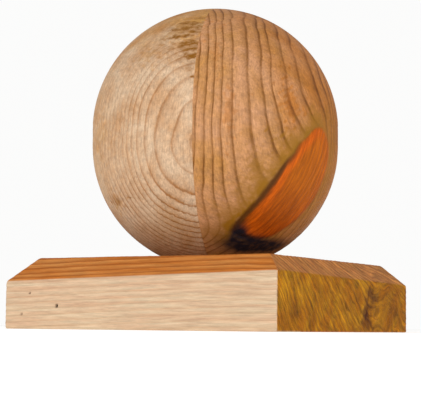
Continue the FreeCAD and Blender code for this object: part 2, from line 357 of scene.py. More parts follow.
def ball_surface(origin, directions):
    """Where rays from inside the ball meet its surface; height 0 is the seat."""
    ball = settings("ball")
    radius, seat = ball.radius / MM, ball.seat_radius / MM
    low = math.sqrt(radius**2 - seat**2)
    high = low + ball.band / MM

    def reach(centre, axes):
        start = (origin - centre) * axes
        ray = directions * axes
        a = np.sum(ray * ray, axis=1)
        b = ray @ start
        return (np.sqrt(b * b - a * (start @ start - radius**2)) - b) / np.maximum(a, 1e-12)

    wall = reach(np.zeros(3), np.array([1, 1, 0]))
    height = origin[2] + wall * directions[:, 2]
    upper = reach(np.array([0, 0, high]), np.ones(3))
    lower = reach(np.array([0, 0, low]), np.ones(3))
    far = np.where(height > high, upper, np.where(height < low, lower, wall))
    foot = origin[2] + far * directions[:, 2]
    far = np.where(foot < 0, -origin[2] / np.minimum(directions[:, 2], -1e-9), far)
    return origin + directions * far[:, None]


def board_blank(name, side, count):
    """One board of the ball as a closed mesh: a fine outer skin and a flat glued face."""
    ball = settings("ball")
    middle = (BALL_TOP - PLATE_HIGH.z) / 2 / MM
    origin = np.array([ball.glue_offset / MM, 0, middle])
    directions = half_sphere_grid(count) * np.array([side, 1, 1])
    points = ball_surface(origin, directions)
    index = np.arange(count * count).reshape(count, count)
    corners = [index[:-1, :-1], index[1:, :-1], index[1:, 1:], index[:-1, 1:]]
    quads = np.stack([c.ravel() for c in corners], axis=1)
    rim = np.concatenate([index[:-1, 0], index[-1, :-1], index[:0:-1, -1], index[0, :0:-1]])
    if side < 0:
        quads = quads[:, ::-1]
        rim = rim[::-1]
    points = turned(points, ball.glue_angle) + np.array([0, 0, PLATE_HIGH.z / MM])
    faces = quads.tolist() + [rim[::-1].tolist()]
    piece = mesh_object(name, points, faces)
    seat = PLATE_HIGH.z / MM
    bore = ball.bore_radius / MM
    profile = [(bore, seat - 2), (bore, seat + ball.bore_depth / MM)]
    cut(piece, round_cutter(name + "_bore", profile, [(0, 0)]))
    return piece


def without_band(points):
    """Points measured from the middle of the ball's band, as if the band had no height."""
    half_band = settings("ball").band / MM / 2
    closed_up = points.copy()
    closed_up[:, 2] -= np.clip(points[:, 2], -half_band, half_band)
    return closed_up


def ball_normals(points):
    """Outward normals of the ball's own form."""
    closed_up = without_band(points)
    return closed_up / np.maximum(np.linalg.norm(closed_up, axis=1), 1e-9)[:, None]


def skin_mask(points):
    """1 on the ball's outer skin and 0 inside it and on its seat."""
    return np.linalg.norm(without_band(points), axis=1) > settings("ball").radius / MM - 0.05


def knot_places(points):
    """Distance along and across the knot, and from its edge (negative inside)."""
    knot = settings("knot")
    out = unit(knot.azimuth, knot.elevation)
    level = np.array([-math.sin(knot.azimuth), math.cos(knot.azimuth), 0])
    rise = np.cross(out, level)
    along_axis = level * math.cos(knot.spin) + rise * math.sin(knot.spin)
    across_axis = np.cross(out, along_axis)
    along, across = points @ along_axis, points @ across_axis
    reach = np.hypot(along, across) + 1e-6
    unfolded = np.where(points @ out < 0, 2 * settings("ball").radius / MM / reach - 1, 1)
    along, across = along * unfolded, across * unfolded
    half_length, half_width = knot.half_length / MM, knot.half_width / MM
    wander = 0.5 * soft_noise(points, 14, 5)
    a = (along - knot.skew * across + wander) / half_length
    b = (across + 0.4 * wander) / half_width
    power = 2.0 + 1.8 * ((a < 0) & (b > 0))
    size = (np.abs(a) ** power + np.abs(b) ** power) ** (1 / power) + 1e-6
    slope = np.hypot(a / half_length, b / half_width) / size + 1e-6
    edge = (size - 1) / slope
    return along, across, np.maximum(edge, -15)


def ring_count(distance, widths, rest):
    """Growth ring number at a distance, from the rings' widths; rest is the width beyond them."""
    radii = np.concatenate([[0], np.cumsum(widths)])
    number = np.interp(distance, radii, np.arange(len(radii)))
    number += np.minimum(distance, 0) / rest
    return number + np.maximum(distance - radii[-1], 0) / rest


def spots(points, places, ragged=0.4, core=0.4):
    """How much each point lies in small marks: (azimuth, elevation, width, height, strength)."""
    total = np.zeros(len(points))
    for azimuth, elevation, wide, tall, strength in places:
        azimuth, elevation = math.radians(azimuth), math.radians(elevation)
        out = unit(azimuth, elevation)
        level = np.array([-math.sin(azimuth), math.cos(azimuth), 0])
        rise = np.cross(out, level)
        rough = np.exp(ragged * soft_noise(points, 3.0, int(abs(azimuth * 100))))
        far = np.hypot(points @ level / wide, points @ rise / tall) * rough
        total += strength * (1 - ease(core, 1.8 - core, far)) * (points @ out > 0)
    return np.clip(total, 0, 1)


# torn grain beside the glue line: broad roughed patches first, then the deep tears
TORN_SPOTS = [
    (-80.0, 48.0, 11.0, 5.5, 0.42),
    (-74.0, 35.0, 6.5, 3.0, 0.50),
    (-86.0, 41.0, 5.0, 1.1, 0.55),
    (-79.5, 41.5, 3.6, 0.9, 0.65),
    (-83.0, 52.5, 5.0, 1.1, 0.50),
    (-72.4, 48.5, 2.6, 1.4, 0.80),
    (-74.0, 44.0, 3.0, 1.0, 0.80),
    (-73.0, 33.0, 2.4, 0.9, 0.70),
    (-75.0, 28.0, 6.0, 3.0, 0.28),
    (-95.0, 33.0, 9.0, 5.0, 0.20),
    (-84.0, 46.7, 4.2, 1.0, 0.75),
    (-79.5, 47.2, 1.6, 0.9, 0.85),
    (-76.0, 36.4, 3.2, 1.0, 1.0),
    (-72.5, 37.2, 2.8, 1.2, 0.6),
    (-73.8, 29.2, 2.3, 1.5, 1.1),
    (-72.8, 22.0, 2.2, 1.3, 0.5),
    (-71.4, 18.7, 1.3, 0.7, 0.7),
    (-75.6, 51.0, 3.0, 1.1, 0.55),
    (-71.5, 56.5, 3.4, 1.4, 0.55),
    (-100.5, 63.8, 1.5, 0.5, 0.9),
    (-92.5, 37.0, 1.2, 0.6, 0.6),
    (-122.5, -34.2, 3.6, 2.2, 0.55),
    (-130.4, -33.9, 0.8, 0.4, 1.0),
    (-108.8, -33.1, 0.9, 0.5, 0.8),
]
# blue-black stain at the foot of the knot
STAIN_SPOTS = [
    (-43.5, -51.0, 3.0, 4.0, 1.0),
    (-40.0, -58.5, 8.0, 5.6, 1.0),
    (-20.0, -60.0, 10.0, 4.6, 1.0),
    (2.0, -59.0, 10.0, 4.0, 0.75),
]
# khaki resin patches along the knot's upper side
KHAKI_SPOTS = [
    (-41.0, -20.0, 3.4, 7.0, 0.8),
    (-24.5, -9.5, 6.0, 4.2, 1.0),
    (-46.0, -30.5, 4.0, 5.5, 0.7),
    (-52.5, -41.0, 5.5, 5.5, 0.7),
    (-9.5, 3.0, 5.0, 6.0, 0.9),
    (-33.0, -25.0, 5.0, 5.0, 0.7),
]
# orange and amber patches on both boards
AMBER_SPOTS = [
    (-54.5, 2.0, 1.6, 7.0, 0.8),
    (-24.5, 7.0, 3.5, 6.0, 0.7),
    (-60.5, 31.0, 1.2, 5.0, 0.6),
    (-74.0, 55.0, 4.0, 2.5, 1.0),
    (-74.6, 40.0, 3.5, 3.0, 0.8),
    (-98.0, 31.0, 5.0, 3.0, 0.6),
    (-122.0, -34.0, 3.5, 3.0, 0.8),
    (-126.0, -2.0, 5.0, 8.0, 0.5),
]
LEFT_RING_WIDTHS = [1.2, 2.8, 2.5, 2.2, 1.9, 1.8, 1.8, 1.9, 2.1, 2.2]
RIGHT_RING_WIDTHS = [2.4, 2.6, 3.3, 5.2, 4.6, 3.1, 4.9, 5.0, 6.2, 4.6]


def left_grain(points):
    """Rings and grain of the left board: flat-sawn, its pith far out in front."""
    facing = unit(math.radians(-67.8), math.radians(-4.8))
    aside = unit(math.radians(22.0), 0.0)
    upright = np.cross(facing, aside)
    radius = settings("ball").radius / MM
    pith = 130.0
    ahead = radius + pith - points @ facing
    sideways = points @ aside + 0.8 * soft_noise(points, 40, 11)
    distance = np.hypot(ahead, sideways) - pith
    distance += 0.16 * soft_noise(points, 30, 12) + 0.05 * soft_noise(points, 8, 13)
    low = ease(20.0, 34.0, -points[:, 2])
    rings = ring_count(distance, LEFT_RING_WIDTHS, 2.2)
    rings += 0.06 * low * soft_noise(points, 2.2, 14)
    return rings, distance, sideways, points @ upright


def right_grain(points, knot_edge):
    """Rings and grain of the right board, bent aside by the knot."""
    facing = unit(math.radians(43.7), math.radians(-10.1))
    aside = unit(math.radians(-46.3), 0.0)
    upright = np.cross(facing, aside)
    bend = 26.7 * np.exp(-np.maximum(knot_edge, 0) / 30.0)
    distance = points @ facing - bend + 25.4
    distance += 0.25 * soft_noise(points, 34, 21) + 0.06 * soft_noise(points, 9, 22)
    rings = ring_count(distance, RIGHT_RING_WIDTHS, 2.8)
    return rings, distance, points @ aside, points @ upright


def left_board_marks(points, normals, rings, torn):
    """Where the left board has gone amber, and how strongly its rings show."""
    patchy = 0.08 * soft_noise(points, 12, 32)
    crown = normals[:, 2]
    outer = points @ unit(math.radians(-165.0), 0.0) + 40 * patchy
    amber = 0.95 * ease(0.40, 0.95, crown + patchy) + 0.25 * ease(25.0, 46.0, outer)
    ring_reach = 1 - 0.45 * ease(4.5, 9.0, rings) - 0.35 * ease(0.2, 0.6, crown)
    ring_reach += 0.9 * ease(16.0, 34.0, -points[:, 2]) + 0.5 * ease(0.1, 0.4, torn)
    return amber, ring_reach


def right_board_marks(points, normals):
    """Where the right board has gone amber, and how strongly its rings show."""
    patchy = 0.08 * soft_noise(points, 12, 32)
    outer = points @ unit(math.radians(35.0), 0.3) + 40 * patchy
    amber = 0.25 * ease(0.55, 1.0, normals[:, 2] + patchy) + 0.9 * ease(8.0, 46.0, outer)
    return amber, np.ones(len(points))


def foot_stain_and_shade(points):
    """Golden brown round the foot of the ball: part weather stain, part painted shade near the seat
    on the plate.
    """
    return 0.45 - 0.45 * ease(-47.0, -30.0, points[:, 2] + 3 * soft_noise(points, 20, 31))


def make_board(name, side, material):
    """Build, texture and carve one board of the ball; side is -1 for left and 1 for right."""
    piece = board_blank(name + "_wood", side, BOARD_GRID)
    mesh = piece.data
    whole = mesh_points(mesh)
    middle = (PLATE_HIGH.z + BALL_TOP) / 2 / MM
    points = whole - np.array([0, 0, middle])
    normals = ball_normals(points)
    along, across, edge = knot_places(points)
    # foot mark: weather stain and painted shade, strongest near the seat on the plate
    foot = foot_stain_and_shade(points)
    if side < 0:
        edge = np.full(len(points), FAR_FROM_KNOT)
        rings, radial, aside, upright = left_grain(points)
        torn = spots(points, TORN_SPOTS)
        stain = np.zeros(len(points))
        amber, ring_reach = left_board_marks(points, normals, rings, torn)
    else:
        rings, radial, aside, upright = right_grain(points, edge)
        torn = np.zeros(len(points))
        stain = spots(points, STAIN_SPOTS, ragged=0.05, core=0.0)
        foot = np.maximum(foot, spots(points, KHAKI_SPOTS, ragged=0.5))
        amber, ring_reach = right_board_marks(points, normals)
    beyond = (1 - ease(4.0, 15.0, edge)) * (1 - ease(-6.0, 0.0, across)) * (edge > 0)
    amber += 0.6 * spots(points, AMBER_SPOTS, ragged=0.8) + 0.5 * beyond
    foot = np.maximum(foot, 0.55 * beyond * (1 + 0.3 * soft_noise(points, 8, 33)))

    write_number(mesh, "rings", rings)
    write_vector(mesh, "grain", radial, aside, upright)
    write_vector(mesh, "knot", along, across, edge)
    write_number(mesh, "ring_reach", ring_reach)
    # the third mark column holds the foot's weather stain and painted shade, and the khaki patches
    write_vector(mesh, "marks", torn, stain, foot)
    write_number(mesh, "amber", np.clip(amber, 0, 1))

    depth = board_relief(points, rings, edge, torn, across) * skin_mask(points)
    move_points(mesh, whole - normals * depth[:, None])
    finish_piece(piece, name, material)


def board_relief(points, rings, edge, torn, across):
    """Depth of the surface under the true ball, in millimetres: never less than nothing."""
    ball = settings("ball")
    inside_knot = 1 - ease(-1.0, 0.5, edge)
    depth = RING_DEPTH * (1 - ring_ridge(rings)) * (1 - inside_knot)
    depth += 0.05 * (1 + soft_noise(points, 30, 41)) + 0.02 * (1 + soft_noise(points, 5, 42))
    depth += TEAR_DEPTH * torn * (0.75 + 0.25 * soft_noise(points, 1.6, 43))
    seam = turned(points, -ball.glue_angle)[:, 0] - ball.glue_offset / MM
    depth += SEAM_DEPTH * np.exp(-((seam / 0.35) ** 2))
    upper = ease(-2.0, 4.0, across)
    crack = np.exp(-((edge / 0.55) ** 2)) * (0.25 + 0.75 * upper)
    depth += KNOT_CRACK_DEPTH * crack * (0.7 + 0.3 * soft_noise(points, 6, 44))
    waves = 1 + np.sin(across * 3.1 + 2 * soft_noise(points, 9, 45))
    depth += KNOT_WAVE_DEPTH * inside_knot * waves
    return np.maximum(depth, 0.0)


# ---------------------------------------------------------------- cap plate


def plate_corners():
    """The plate's key points up each corner, in millimetres, anticlockwise from the front left."""
    plate = settings("plate")
    half, top = PLATE_HIGH.x / MM, PLATE_HIGH.z / MM
    legs = [plate.bevel_front_left, plate.bevel_front_right]
    legs += [plate.bevel_back_right, plate.bevel_back_left]
    legs = [leg / MM for leg in legs]
    signs = [(-1, -1), (1, -1), (1, 1), (-1, 1)]
    across = {0: 1, 1: 0, 2: 3, 3: 2}  # the neighbour along X
    beside = {0: 3, 1: 2, 2: 1, 3: 0}  # the neighbour along Y
    corners = []
    for i, (sx, sy) in enumerate(signs):
        x, y = half - legs[i], half - legs[i]
        for _ in range(8):
            share_x, share_y = (half - x) / (2 * half), (half - y) / (2 * half)
            y_leg = legs[i] + (legs[across[i]] - legs[i]) * share_x
            x_leg = legs[i] + (legs[beside[i]] - legs[i]) * share_y
            x, y = half - x_leg, half - y_leg
        inset, middle = half - 1.5, 12.0
        path = [(inset, inset, 0), (half, half, 0), (half, half, top - legs[i])]
        path += [(x, y, top), (middle, middle, top)]
        corners.append(np.array(path) * np.array([sx, sy, 1]))
    return corners


def worn_path(keys, wear, steps):
    """A path through key points, its bends rounded off; steps is each leg's count of points."""
    points = [keys[0]]
    start = keys[0]
    for i, count in enumerate(steps):
        end = keys[i + 1]
        last = i == len(steps) - 1
        back = (keys[i] - end) / np.linalg.norm(keys[i] - end)
        stop = end if last else end + back * wear
        for step in range(1, count + 1):
            share = step / count
            share = share**1.5 if last else share
            points.append(start + (stop - start) * share)
        if last:
            break
        onward = (keys[i + 2] - end) / np.linalg.norm(keys[i + 2] - end)
        start = end + onward * wear
        for t in (0.25, 0.5, 0.75, 1.0):
            points.append(stop * (1 - t) ** 2 + end * 2 * t * (1 - t) + start * t * t)
    return np.array(points)


def plate_blank(name, steps_along, steps_up):
    """The plate as a closed mesh of loops from its underside up and in to the middle."""
    wear = settings("plate").arris / MM
    paths = [worn_path(keys, wear, steps_up) for keys in plate_corners()]
    loops = []
    for level in zip(*paths):
        loop = []
        for i, corner in enumerate(level):
            before, after = level[i - 1], level[(i + 1) % 4]
            back = corner + (before - corner) / np.linalg.norm(before - corner) * wear
            onward = corner + (after - corner) / np.linalg.norm(after - corner) * wear
            stop = after + (corner - after) / np.linalg.norm(corner - after) * wear
            for t in (0.0, 0.25, 0.5, 0.75):
                loop.append(back * (1 - t) ** 2 + corner * 2 * t * (1 - t) + onward * t * t)
            for step in range(steps_along):
                loop.append(onward + (stop - onward) * step / steps_along)
        loops.append(loop)
    points = np.array(loops)
    rows, cols = points.shape[:2]
    index = np.arange(rows * cols).reshape(rows, cols)
    after = np.roll(index, -1, axis=1)
    corners = [index[:-1], after[:-1], after[1:], index[1:]]
    quads = np.stack([c.ravel() for c in corners], axis=1).tolist()
    faces = quads + [index[0, ::-1].tolist(), index[-1].tolist()]
    return mesh_object(name, points.reshape(-1, 3), faces)


def screw_places():
    """Where the four post screws stand, in millimetres."""
    boxes = [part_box(node) for node in SCREWS]
    return [((low.x + high.x) / 2 / MM, (low.y + high.y) / 2 / MM) for low, high in boxes]


def plate_holes(piece):
    """Cut the four countersunk holes and the blind hole for the dowel screw."""
    top = PLATE_HIGH.z / MM
    shank, sink = 2.25, 4.5
    profile = [(shank, -1), (shank, top - sink + shank), (sink + 1, top + 1)]
    cut(piece, round_cutter("screw_hole_cutter", profile, screw_places()))
    bore = settings("ball").bore_radius / MM
    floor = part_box("dowel_screw")[0].z / MM - 2
    profile = [(bore, floor), (bore, top + 1)]
    cut(piece, round_cutter("dowel_hole_cutter", profile, [(0, 0)]))


def ring_number_of_radius(radius):
    """Rings of the plate's tree: wide near the pith and fine in the sapwood."""
    steps = np.linspace(0, 240, 961)
    widths = 2.6 - 1.3 * ease(144.0, 152.0, steps)
    numbers = np.concatenate([[0], np.cumsum(np.diff(steps) / widths[1:])])
    return np.interp(radius, steps, numbers)


# the plate's tree: its pith runs along X over the back, and a small knot shows in the right end
PITH_Y, PITH_Z = 70.0, 93.0
END_KNOT_Y, END_KNOT_Z = 42.0, 11.5
# bark inclusions beside that knot: (y, z, half width, half height, strength)
BARK_SPOTS = [
    (22.0, 15.6, 2.6, 1.8, 0.5),
    (26.0, 13.2, 3.2, 1.6, 0.5),
    (17.5, 9.0, 2.6, 3.0, 0.5),
    (18.5, 3.6, 5.0, 3.2, 0.45),
    (28.0, 8.0, 2.6, 2.2, 0.35),
    (43.0, 9.0, 2.4, 1.6, 0.25),
]
# pin holes in the front face: (x, z, radius)
PIN_HOLES = [(-35.3, 8.9, 0.6), (-48.3, 13.9, 0.35), (-52.0, 5.7, 0.35)]


def plate_grain(points):
    """Growth rings of the plate, and how far each point is inside the end knot."""
    x, y, z = points.T
    sway = 0.9 * np.sin(x / 45.0 + 0.6)
    radius = np.hypot(y - PITH_Y, z - PITH_Z - sway) + 0.014 * x
    wild = ease(40.0, 58.0, x)
    radius += (0.20 + 0.5 * wild) * soft_noise(points * np.array([0.12, 1, 1]), 30, 61)
    radius += (0.05 + 0.25 * wild) * soft_noise(points * np.array([0.05, 1, 1]), 6, 62)
    near_end = ease(28.0, 56.0, x)
    far = np.hypot(y - END_KNOT_Y, (z - END_KNOT_Z) * 1.1) + 1.5 * soft_noise(points, 9, 63)
    bend = 9.0 * np.exp(-np.maximum(far - 6.0, 0) / 8.0) * near_end
    rings = ring_number_of_radius(radius + bend)
    in_knot = (1 - ease(7.0, 13.0, far)) * near_end
    return rings * (1 - in_knot) + (far / 2.4) * in_knot, radius + bend, in_knot


def bark_marks(points):
    """Dark bark inclusions, on the right end only."""
    x, y, z = points.T
    total = np.zeros(len(points))
    for mark_y, mark_z, wide, tall, strength in BARK_SPOTS:
        ragged = np.exp(0.35 * soft_noise(points, 3.2, int(mark_y * 3)))
        far = np.hypot((y - mark_y) / wide, (z - mark_z) / tall) * ragged
        total += strength * (1 - ease(0.3, 1.6, far))
    return np.clip(total, 0, 1) * ease(52.0, 58.5, x)


def pin_holes(points):
    """Share of each point that lies in a pin hole of the front face."""
    x, y, z = points.T
    total = np.zeros(len(points))
    for hole_x, hole_z, radius in PIN_HOLES:
        far = np.hypot(x - hole_x, z - hole_z) / radius
        total += (1 - ease(0.6, 1.3, far)) * (y < -PLATE_HIGH.y / MM + 1.5)
    return total


def make_plate_wood(name, material):
    """Build, texture and carve the plate."""
    piece = plate_blank(name + "_wood", PLATE_STEPS_ALONG, PLATE_STEPS_UP)
    plate_holes(piece)
    mesh = piece.data
    points, normals = mesh_points(mesh), mesh_normals(mesh)
    rings, radial, in_knot = plate_grain(points)
    end = ease(0.6, 0.92, np.abs(normals[:, 0]))
    holes = pin_holes(points)
    bark = bark_marks(points)
    on_bevel = ease(0.35, 0.6, normals[:, 2]) * (points[:, 2] > 15)
    wander = 0.5 * soft_noise(points * np.array([0.3, 1, 1]), 12, 71)
    inner = 1 - ease(146.0, 147.4, radial + wander)
    banded = ease(0.35, 0.7, np.abs(normals[:, 0]))
    heart = np.maximum(inner, on_bevel) * (1 - 0.12 * banded)

    write_number(mesh, "rings", rings)
    write_vector(mesh, "grain", radial, points[:, 1] - points[:, 2], points[:, 0])
    write_vector(mesh, "marks", heart, end, holes)
    write_vector(mesh, "knot", 0.35 * in_knot, bark, banded)

    depth = plate_relief(points, rings, end, holes, bark) * open_face(points)
    move_points(mesh, points - normals * depth[:, None])
    finish_piece(piece, name, material)


def open_face(points):
    """1 on the plate's faces and 0 on its underside and in and round its screw holes."""
    rim = 5.2
    in_hole = np.zeros(len(points), bool)
    for x, y in screw_places():
        in_hole |= np.hypot(points[:, 0] - x, points[:, 1] - y) < rim
    return ~in_hole & (points[:, 2] > 0.2)


def plate_relief(points, rings, end, holes, bark):
    """Depth of the surface under the true plate, in millimetres: never less than nothing."""
    valleys = 1 - ring_ridge(rings)
    depth = SAWN_RING_DEPTH * valleys * (1 - end) + END_RING_DEPTH * valleys * end
    depth += 0.04 * (1 + soft_noise(points, 24, 72)) + 0.02 * (1 + soft_noise(points, 3, 73))
    depth += PIN_HOLE_DEPTH * holes
    depth += BARK_DEPTH * bark * (0.6 + 0.4 * soft_noise(points, 2.5, 74))
    return np.maximum(depth, 0)


# ---------------------------------------------------------------- materials


def new_material(name):
    """An empty node material."""
    material = bpy.data.materials.new(name)
    material.use_nodes = True
    material.node_tree.nodes.clear()
    return material


def lay_out(tree, groups):
    """Put each group of nodes into a labelled frame, one row for each group."""
    for row, (label, members) in enumerate(groups.items()):
        frame_node = tree.nodes.new("NodeFrame")
        frame_node.label = label
        for column, node in enumerate(members):
            node.parent = frame_node
            node.location = (240 * column, -460 * row)


def set_ring_profile(ramp, *stops):
    """How dark the wood is across one growth ring: (share of the ring, darkness)."""
    while len(ramp.elements) < len(stops):
        ramp.elements.new(0.5)
    for element, (share, darkness) in zip(ramp.elements, stops):
        element.position = share
        element.color = (darkness, darkness, darkness, 1)


def board_material(name, early, blush, late, line_strength, knotty):
    """Turned softwood: growth rings, fibres, blotches, torn grain, and a golden brown foot of
    weather stain and painted shade.
    """
    ball = settings("ball")
    material = new_material(name)
    tree = material.node_tree
    nodes, links = tree.nodes, tree.links

    ring_number = nodes.new("ShaderNodeAttribute")
    ring_number.label = "Growth ring number"
    grain_place = nodes.new("ShaderNodeAttribute")
    grain_place.label = "Place in the board's grain, mm"
    ring_waver = nodes.new("ShaderNodeTexNoise")
    ring_waver.label = "Small wavers of the rings"
    ring_moved = nodes.new("ShaderNodeMath")
    ring_moved.label = "Rings with their wavers"
    ring_share = nodes.new("ShaderNodeMath")
    ring_share.label = "Share across one ring"
    late_line = nodes.new("ShaderNodeValToRGB")
    late_line.label = "Late wood darkens to a sharp edge"
    ring_reach = nodes.new("ShaderNodeAttribute")
    ring_reach.label = "Where rings still show"
    reach_amount = nodes.new("ShaderNodeMath")
    reach_amount.label = "Rings fade to the outer side"
    line_fade = nodes.new("ShaderNodeTexNoise")
    line_fade.label = "Lines fade in places"
    line_range = nodes.new("ShaderNodeMapRange")
    line_range.label = "How strong the lines are"
    late_amount = nodes.new("ShaderNodeMath")
    late_amount.label = "Late wood line"

    blotch = nodes.new("ShaderNodeTexNoise")
    blotch.label = "Drifting colour"
    blotch_range = nodes.new("ShaderNodeMapRange")
    blotch_range.label = "Edges of the colour drift"
    blotch_mix = nodes.new("ShaderNodeMix")
    blotch_mix.label = "Early wood and its blush"
    late_mix = nodes.new("ShaderNodeMix")
    late_mix.label = "Late wood lines laid on"

    fibre_stretch = nodes.new("ShaderNodeMapping")
    fibre_stretch.label = "Fibres run up the board"
    fibre = nodes.new("ShaderNodeTexNoise")
    fibre.label = "Fine fibres"
    fibre_range = nodes.new("ShaderNodeMapRange")
    fibre_range.label = "Light and dark fibres"
    fibre_mix = nodes.new("ShaderNodeMix")
    fibre_mix.label = "Fibres tint the wood"
    mottle = nodes.new("ShaderNodeTexNoise")
    mottle.label = "Fine mottling"
    mottle_range = nodes.new("ShaderNodeMapRange")
    mottle_range.label = "Light and dark mottling"
    mottle_mix = nodes.new("ShaderNodeMix")
    mottle_mix.label = "Mottling tints the wood"
    canal_stretch = nodes.new("ShaderNodeMapping")
    canal_stretch.label = "Resin canals run up the board"
    canal = nodes.new("ShaderNodeTexVoronoi")
    canal.label = "Resin canals"
    canal_range = nodes.new("ShaderNodeMapRange")
    canal_range.label = "Short dark dashes"
    canal_mix = nodes.new("ShaderNodeMix")
    canal_mix.label = "Resin canals laid on"

    marks = nodes.new("ShaderNodeAttribute")
    marks.label = "Torn grain, blue stain, foot of the ball"
    mark_parts = nodes.new("ShaderNodeSeparateXYZ")
    mark_parts.label = "The three marks apart"
    splinter_stretch = nodes.new("ShaderNodeMapping")
    splinter_stretch.label = "Splinters lie along the turning"
    splinter = nodes.new("ShaderNodeTexNoise")
    splinter.label = "Pale splinters in the tears"
    torn_clear = nodes.new("ShaderNodeMapRange")
    torn_clear.label = "Dirt between the splinters"
    torn_amount = nodes.new("ShaderNodeMath")
    torn_amount.label = "Dirt in the torn patches"
    torn_mix = nodes.new("ShaderNodeMix")
    torn_mix.label = "Torn grain laid on"

    amber = nodes.new("ShaderNodeAttribute")
    amber.label = "Crown and outer side, gone amber"
    amber_mix = nodes.new("ShaderNodeMix")
    amber_mix.label = "Amber wood"
    # painted shade near the seat, mixed with weather stain: the foot mark darkens the wood toward
    # the plate
    foot_shade_noise = nodes.new("ShaderNodeTexNoise")
    foot_shade_noise.label = "Uneven weathering"
    foot_stain_and_shade_amount = nodes.new("ShaderNodeMath")
    foot_stain_and_shade_amount.label = "Weathering near the seat"
    foot_mix = nodes.new("ShaderNodeMix")
    foot_mix.label = "Weathered foot"

    lathe_stretch = nodes.new("ShaderNodeMapping")
    lathe_stretch.label = "Tool marks lie level"
    lathe = nodes.new("ShaderNodeTexNoise")
    lathe.label = "Marks of the turning tool"
    relief = nodes.new("ShaderNodeMath")
    relief.label = "Tool marks over the fibres"
    bump = nodes.new("ShaderNodeBump")
    bump.label = "Fine surface of the wood"
    gloss = nodes.new("ShaderNodeMapRange")
    gloss.label = "Fibres are rough or smooth"
    wood = nodes.new("ShaderNodeBsdfPrincipled")
    wood.label = name
    output = nodes.new("ShaderNodeOutputMaterial")
    output.label = "Surface"

    groups = {
        "Growth rings": [ring_number, grain_place, ring_waver, ring_moved, ring_share, late_line],
        "Ring strength": [line_fade, line_range, late_amount, ring_reach, reach_amount],
        "Colour of the wood": [blotch, blotch_range, blotch_mix, late_mix],
        "Fibres": [fibre_stretch, fibre, fibre_range, fibre_mix],
        "Mottling": [mottle, mottle_range, mottle_mix],
        "Resin canals": [canal_stretch, canal, canal_range, canal_mix],
        "Torn grain": [marks, mark_parts, torn_clear, torn_amount, torn_mix],
        "Splinters": [splinter_stretch, splinter],
        "Weathering and painted shade": [amber, amber_mix, foot_shade_noise, foot_stain_and_shade_amount, foot_mix],
        "Surface": [lathe_stretch, lathe, relief, bump, gloss, wood, output],
    }
    lay_out(tree, groups)

    ring_number.attribute_name = "rings"
    grain_place.attribute_name = "grain"
    marks.attribute_name = "marks"
    amber.attribute_name = "amber"
    ring_reach.attribute_name = "ring_reach"
    ring_waver.inputs["Scale"].default_value = 0.32
    ring_waver.inputs["Detail"].default_value = 5
    ring_waver.inputs["Roughness"].default_value = 0.65
    ring_moved.operation = "MULTIPLY_ADD"
    ring_moved.inputs[1].default_value = 0.10
    ring_share.operation = "FRACT"
    early_part = [(0.0, 0.35), (0.10, 0.0), (0.50, 0.05)]
    late_part = [(0.80, 0.45), (0.90, 1.0), (1.0, 0.9)]
    set_ring_profile(late_line.color_ramp, *early_part, *late_part)
    line_fade.inputs["Scale"].default_value = 0.07
    line_fade.inputs["Detail"].default_value = 3
    line_range.inputs["From Min"].default_value = 0.32
    line_range.inputs["From Max"].default_value = 0.62
    line_range.inputs["To Min"].default_value = line_strength * 0.45
    line_range.inputs["To Max"].default_value = line_strength
    late_amount.operation = "MULTIPLY"
    reach_amount.operation = "MULTIPLY"

    blotch.inputs["Scale"].default_value = 0.075
    blotch.inputs["Detail"].default_value = 5
    blotch.inputs["Roughness"].default_value = 0.6
    blotch.inputs["Distortion"].default_value = 0.4
    blotch_range.inputs["From Min"].default_value = 0.38
    blotch_range.inputs["From Max"].default_value = 0.66
    mixes = (blotch_mix, late_mix, fibre_mix, mottle_mix, canal_mix, torn_mix, amber_mix, foot_mix)
    for mix in mixes:
        mix.data_type = "RGBA"
    blotch_mix.inputs["A"].default_value = shade(early)
    blotch_mix.inputs["B"].default_value = shade(blush)
    late_mix.inputs["B"].default_value = shade(late)

    fibre_stretch.inputs["Scale"].default_value = (1.0, 1.0, 0.09)
    fibre.inputs["Scale"].default_value = 2.1
    fibre.inputs["Detail"].default_value = 5
    fibre.inputs["Roughness"].default_value = 0.75
    fibre_range.inputs["From Min"].default_value = 0.36
    fibre_range.inputs["From Max"].default_value = 0.64
    fibre_range.inputs["To Min"].default_value = 0.68
    fibre_range.inputs["To Max"].default_value = 1.15
    fibre_range.clamp = False
    fibre_mix.blend_type = "MULTIPLY"
    fibre_mix.inputs["Factor"].default_value = 0.75
    mottle.inputs["Scale"].default_value = 0.55
    mottle.inputs["Detail"].default_value = 6
    mottle.inputs["Roughness"].default_value = 0.8
    mottle_range.clamp = False
    mottle_range.inputs["From Min"].default_value = 0.35
    mottle_range.inputs["From Max"].default_value = 0.65
    mottle_range.inputs["To Min"].default_value = 0.78
    mottle_range.inputs["To Max"].default_value = 1.16
    mottle_mix.blend_type = "MULTIPLY"
    mottle_mix.inputs["Factor"].default_value = 1.0
    canal_stretch.inputs["Scale"].default_value = (1.0, 1.0, 0.16)
    canal.inputs["Scale"].default_value = 0.55
    canal_range.inputs["From Min"].default_value = 0.05
    canal_range.inputs["From Max"].default_value = 0.16
    canal_range.inputs["To Min"].default_value = 0.3
    canal_range.inputs["To Max"].default_value = 0.0
    canal_mix.inputs["B"].default_value = shade(late)

